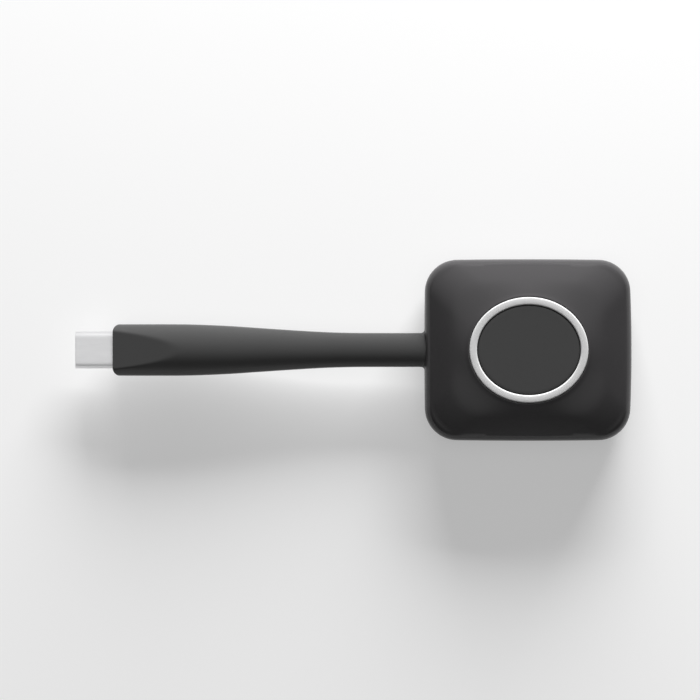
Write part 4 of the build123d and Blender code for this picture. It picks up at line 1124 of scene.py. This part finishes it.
def bend(piece):
    """Bakes a soft piece's placement into its mesh."""
    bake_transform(piece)


class DONGLE_OT_cable(bpy.types.Operator):
    """Draws the cable's jacket, braid and wires out in short lengths"""

    bl_idname = "dongle.cable"
    bl_label = "Cable"

    def execute(self, context):
        sizes = context.scene.dongle_neck
        jacket_out = sizes.cable / 2
        jacket_in = jacket_out - sizes.jacket
        braid_out = jacket_in - 0.02 * MM
        tubes = (
            ("jacket_tube", jacket_low.x, jacket_high.x, jacket_out, jacket_in),
            ("braid_tube", braid_low.x, braid_high.x, braid_out, braid_out - sizes.braid),
        )
        dress = {
            "jacket_tube": ("cable_plastic", "Cable PVC", "cable_jacket"),
            "braid_tube": ("braid_metal", "Tinned braid", "cable_braid"),
        }
        count = 80
        for name, start, end, outer, inner in tubes:
            edge = 0.05 * MM
            loops = [cross_loop(lambda turn: outer - edge, start, AROUND_CABLE)]
            loops += [
                cross_loop(lambda turn: outer, mix(start + edge, end - edge, step / count), AROUND_CABLE)
                for step in range(count + 1)
            ]
            loops.append(cross_loop(lambda turn: outer - edge, end, AROUND_CABLE))
            loops += [
                cross_loop(lambda turn: inner, mix(end, start, step / count), AROUND_CABLE)
                for step in range(count + 1)
            ]
            tube = draw_out(name, loops, closed=True)
            slot, finish, node = dress[name]
            settle(tube, None, finish)
            bend(tube)
            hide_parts(node)
        # One wire is drawn and copied for the others
        radius = sizes.wire / 2
        start, end = wires_low.x, wires_high.x
        loops = [
            cross_loop(lambda turn: radius, mix(start, end, step / count), AROUND_WIRE)
            for step in range(count + 1)
        ]
        first = draw_out("wire_bundle", loops)
        wires = [first]
        for number in range(6):
            turn = 2 * pi * number / 6
            bpy.ops.object.select_all(action="DESELECT")
            first.select_set(True)
            context.view_layer.objects.active = first
            bpy.ops.object.duplicate(linked=False)
            copy = context.object
            bpy.ops.transform.translate(
                value=(0, sizes.wire_spacing * cos(turn), sizes.wire_spacing * sin(turn))
            )
            bpy.ops.object.transform_apply(location=True, rotation=False, scale=False)
            wires.append(copy)
        bpy.ops.object.select_all(action="DESELECT")
        for wire in wires:
            wire.select_set(True)
        context.view_layer.objects.active = first
        bpy.ops.object.join()
        settle(first, None, "Wire insulation")
        bend(first)
        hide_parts("cable_wires")
        return {"FINISHED"}


class DONGLE_OT_plug_shell(bpy.types.Operator):
    """Draws the plug's steel shell out round its rolled mouth and back inside"""

    bl_idname = "dongle.plug_shell"
    bl_label = "Plug shell"

    def execute(self, context):
        sizes = context.scene.dongle_plug
        width, height = shell_high.y - shell_low.y, shell_high.z - shell_low.z
        tip, end = shell_low.x, shell_high.x
        edge = sizes.tip_edge
        section = [(0, end), (0, tip + 4 * edge)]
        for step in range(EDGE_STEPS + 1):
            angle = pi / 2 * step / EDGE_STEPS
            section.append((-edge * (1 - cos(angle)), tip + edge * (1 - sin(angle))))
        inner = -sizes.wall
        for step in range(EDGE_STEPS, -1, -1):
            angle = pi / 2 * step / EDGE_STEPS
            section.append((inner + edge * (1 - cos(angle)), tip + edge * (1 - sin(angle))))
        section += [(inner, tip + 4 * edge), (inner, end)]
        loops = [
            cross_loop(
                lambda turn: slot_reach(turn, width + 2 * grow, height + 2 * grow), x, AROUND_PLUG
            )
            for grow, x in section
        ]
        shell = draw_out("plug_mouth", loops, closed=True)
        settle(shell, "plug", "Drawn stainless steel", ["plug_shell"])
        return {"FINISHED"}


class DONGLE_OT_snap_dome(bpy.types.Operator):
    """Draws the switch's snap dome out as a thin curved disc"""

    bl_idname = "dongle.snap_dome"
    bl_label = "Snap dome"

    def execute(self, context):
        rim = dome_high.x
        thickness = 0.06 * MM
        apex = dome_high.z
        rise = apex - thickness - dome_low.z
        count = 8
        section = [(rim * step / count, apex - rise * (step / count) ** 2) for step in range(1, count + 1)]
        section += [(radius, height - thickness) for radius, height in reversed(section)]
        loops = [flat_loop(lambda turn: radius, height, AROUND_CABLE) for radius, height in section]
        dome = draw_out("dome_disc", loops)
        settle(dome, "housing", "Drawn stainless steel", ["switch_dome"])
        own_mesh(dome)
        return {"FINISHED"}


class DONGLE_OT_stage(bpy.types.Operator):
    """Lays the floor, sets the lamp and the studio's walls and points the camera as the photo's was"""

    bl_idname = "dongle.stage"
    bl_label = "Stage"

    def execute(self, context):
        studio = context.scene.dongle_studio
        bpy.ops.object.select_all(action="DESELECT")
        bpy.ops.mesh.primitive_plane_add(size=6, location=(studio.view_x, 0, -0.02 * MM))
        floor = context.object
        floor.name = floor.data.name = "floor"
        bpy.ops.object.transform_apply(location=True, rotation=True, scale=True)
        tree, surface = new_finish("Pale card")
        surface.inputs["Base Color"].default_value = (*linear("#c8c8c8"), 1)
        surface.inputs["Roughness"].default_value = 0.9
        surface.inputs["Specular IOR Level"].default_value = 0.0
        glow = add_node(tree, "ShaderNodeEmission", Strength=0.36)
        glow.inputs["Color"].default_value = (1, 1, 1, 1)
        path = add_node(tree, "ShaderNodeLightPath")
        seen = shown_to_eye(tree, path)
        lit = add_node(tree, "ShaderNodeAddShader")
        tree.links.new(surface.outputs["BSDF"], lit.inputs[0])
        tree.links.new(glow.outputs["Emission"], lit.inputs[1])
        chosen = add_node(tree, "ShaderNodeMixShader")
        tree.links.new(seen, chosen.inputs["Fac"])
        tree.links.new(surface.outputs["BSDF"], chosen.inputs[1])
        tree.links.new(lit.outputs["Shader"], chosen.inputs[2])
        output = next(node for node in tree.nodes if node.type == "OUTPUT_MATERIAL")
        tree.links.new(chosen.outputs["Shader"], output.inputs["Surface"])
        floor.data.materials.append(bpy.data.materials["Pale card"])

        # Low soft lamp behind the object's far side, a little to the right
        spot = Vector((0.12, 0.9, 0.2))
        bpy.ops.object.light_add(type="AREA", location=spot)
        lamp = context.object
        lamp.name = "key_lamp"
        lamp.rotation_euler = (Vector((-0.02, 0, 0)) - spot).to_track_quat("-Z", "Y").to_euler()
        lamp.data.shape = "RECTANGLE"
        lamp.visible_glossy = False
        lamp.data.size = 0.7
        lamp.data.size_y = 0.3
        # Power that gives the wanted radiance over the lamp's area
        lamp.data.energy = studio.key * pi * lamp.data.size * lamp.data.size_y

        world = bpy.data.worlds.new("Studio walls")
        context.scene.world = world
        world.use_nodes = True
        tree = world.node_tree
        tree.nodes.clear()
        path = add_node(tree, "ShaderNodeLightPath")
        # Dark walls under a soft white ceiling. Mirror rays also find a white horizon, a pale wall behind
        # the lamp and a grey card in front, and the camera sees white all round, through glass too.
        heading = add_node(tree, "ShaderNodeTexCoord").outputs["Generated"]
        split = add_node(tree, "ShaderNodeSeparateXYZ", [("Vector", heading)])
        ceiling = add_node(
            tree,
            "ShaderNodeMapRange",
            [("Value", split.outputs["Z"])],
            interpolation_type="SMOOTHSTEP",
            From_Min=cos(studio.ceiling_outer),
            From_Max=cos(studio.ceiling_inner),
            To_Max=1,
        )
        horizon = add_node(
            tree,
            "ShaderNodeMapRange",
            [("Value", split.outputs["Z"])],
            interpolation_type="SMOOTHSTEP",
            From_Min=0.2,
            From_Max=0.45,
            To_Min=1,
            To_Max=0,
        )
        behind = add_node(
            tree,
            "ShaderNodeMapRange",
            [("Value", split.outputs["Y"])],
            interpolation_type="SMOOTHSTEP",
            From_Min=0.15,
            From_Max=0.85,
            To_Max=studio.far_wall,
        )
        front = add_node(
            tree,
            "ShaderNodeMapRange",
            [("Value", split.outputs["Y"])],
            interpolation_type="SMOOTHSTEP",
            From_Min=-0.4,
            From_Max=-0.85,
            To_Max=studio.front_card,
        )
        cards = add_node(
            tree,
            "ShaderNodeMath",
            [(0, behind.outputs["Result"]), (1, front.outputs["Result"])],
            operation="ADD",
        )
        mirrored = add_node(
            tree,
            "ShaderNodeMapRange",
            [("Value", horizon.outputs["Result"]), ("To Min", cards.outputs["Value"])],
            To_Max=1,
        )
        above = add_node(
            tree,
            "ShaderNodeMapRange",
            [("Value", path.outputs["Is Glossy Ray"])],
            To_Min=studio.ceiling,
            To_Max=1,
        )
        overhead = add_node(
            tree,
            "ShaderNodeMath",
            [(0, ceiling.outputs["Result"]), (1, above.outputs["Result"])],
            operation="MULTIPLY_ADD",
        )
        overhead.inputs[2].default_value = studio.fill
        walls_seen = add_node(
            tree,
            "ShaderNodeMath",
            [
                (0, mirrored.outputs["Result"]),
                (1, path.outputs["Is Glossy Ray"]),
                (2, overhead.outputs["Value"]),
            ],
            operation="MULTIPLY_ADD",
        )
        straight = add_node(
            tree,
            "ShaderNodeMath",
            [(0, path.outputs["Is Camera Ray"]), (1, path.outputs["Is Transmission Ray"])],
            operation="MAXIMUM",
        )
        strength = add_node(
            tree,
            "ShaderNodeMapRange",
            [("Value", straight.outputs["Value"]), ("To Min", walls_seen.outputs["Value"])],
            To_Max=1,
        )
        walls = add_node(tree, "ShaderNodeBackground", [("Strength", strength.outputs["Result"])])
        walls.inputs["Color"].default_value = (1, 1, 1, 1)
        output = add_node(tree, "ShaderNodeOutputWorld")
        tree.links.new(walls.outputs["Background"], output.inputs["Surface"])

        # Camera straight above, with a long lens
        distance = studio.view_width * studio.lens / 36
        spot = (studio.view_x, 0, studio.view_height + distance)
        bpy.ops.object.camera_add(location=spot, rotation=(0, 0, 0))
        camera = context.object
        camera.name = "photo_camera"
        camera.data.lens = studio.lens
        camera.data.sensor_width = 36
        camera.data.clip_start = 0.01
        camera.data.clip_end = 100
        context.scene.camera = camera
        context.scene.view_settings.view_transform = "Standard"
        return {"FINISHED"}


def shown_to_eye(tree, path):
    """1 where a ray comes from the camera or from a mirror or glass, else 0."""
    both = add_node(
        tree,
        "ShaderNodeMath",
        [(0, path.outputs["Is Camera Ray"]), (1, path.outputs["Is Glossy Ray"])],
        operation="MAXIMUM",
    )
    seen = add_node(
        tree,
        "ShaderNodeMath",
        [(0, both.outputs["Value"]), (1, path.outputs["Is Transmission Ray"])],
        operation="MAXIMUM",
    )
    return seen.outputs["Value"]


STEPS = (
    DONGLE_OT_finishes,
    DONGLE_OT_upper_cover,
    DONGLE_OT_lower_cover,
    DONGLE_OT_light_ring,
    DONGLE_OT_button,
    DONGLE_OT_foot,
    DONGLE_OT_neck,
    DONGLE_OT_cable,
    DONGLE_OT_plug_shell,
    DONGLE_OT_snap_dome,
    DONGLE_OT_stage,
)


class DONGLE_PT_steps(bpy.types.Panel):
    """Lists the dongle's pieces in the order in which they are made"""

    bl_idname = "DONGLE_PT_steps"
    bl_label = "Presentation dongle"
    bl_space_type = "VIEW_3D"
    bl_region_type = "UI"
    bl_category = "Dongle"

    def draw(self, context):
        for step in STEPS:
            self.layout.operator(step.bl_idname)
        for name, group in SIZE_GROUPS:
            box = self.layout.box()
            for size in group.__annotations__:
                box.prop(getattr(context.scene, name), size)


def register():
    for name, group in SIZE_GROUPS:
        bpy.utils.register_class(group)
        setattr(bpy.types.Scene, name, bpy.props.PointerProperty(type=group))
    for step in (*STEPS, DONGLE_PT_steps):
        bpy.utils.register_class(step)


def unregister():
    for step in reversed((*STEPS, DONGLE_PT_steps)):
        bpy.utils.unregister_class(step)
    for name, group in reversed(SIZE_GROUPS):
        delattr(bpy.types.Scene, name)
        bpy.utils.unregister_class(group)


def main():
    register()
    for step in STEPS:
        operator = getattr(bpy.ops.dongle, step.bl_idname.split(".")[1])
        operator()


if __name__ == "__main__":
    main()
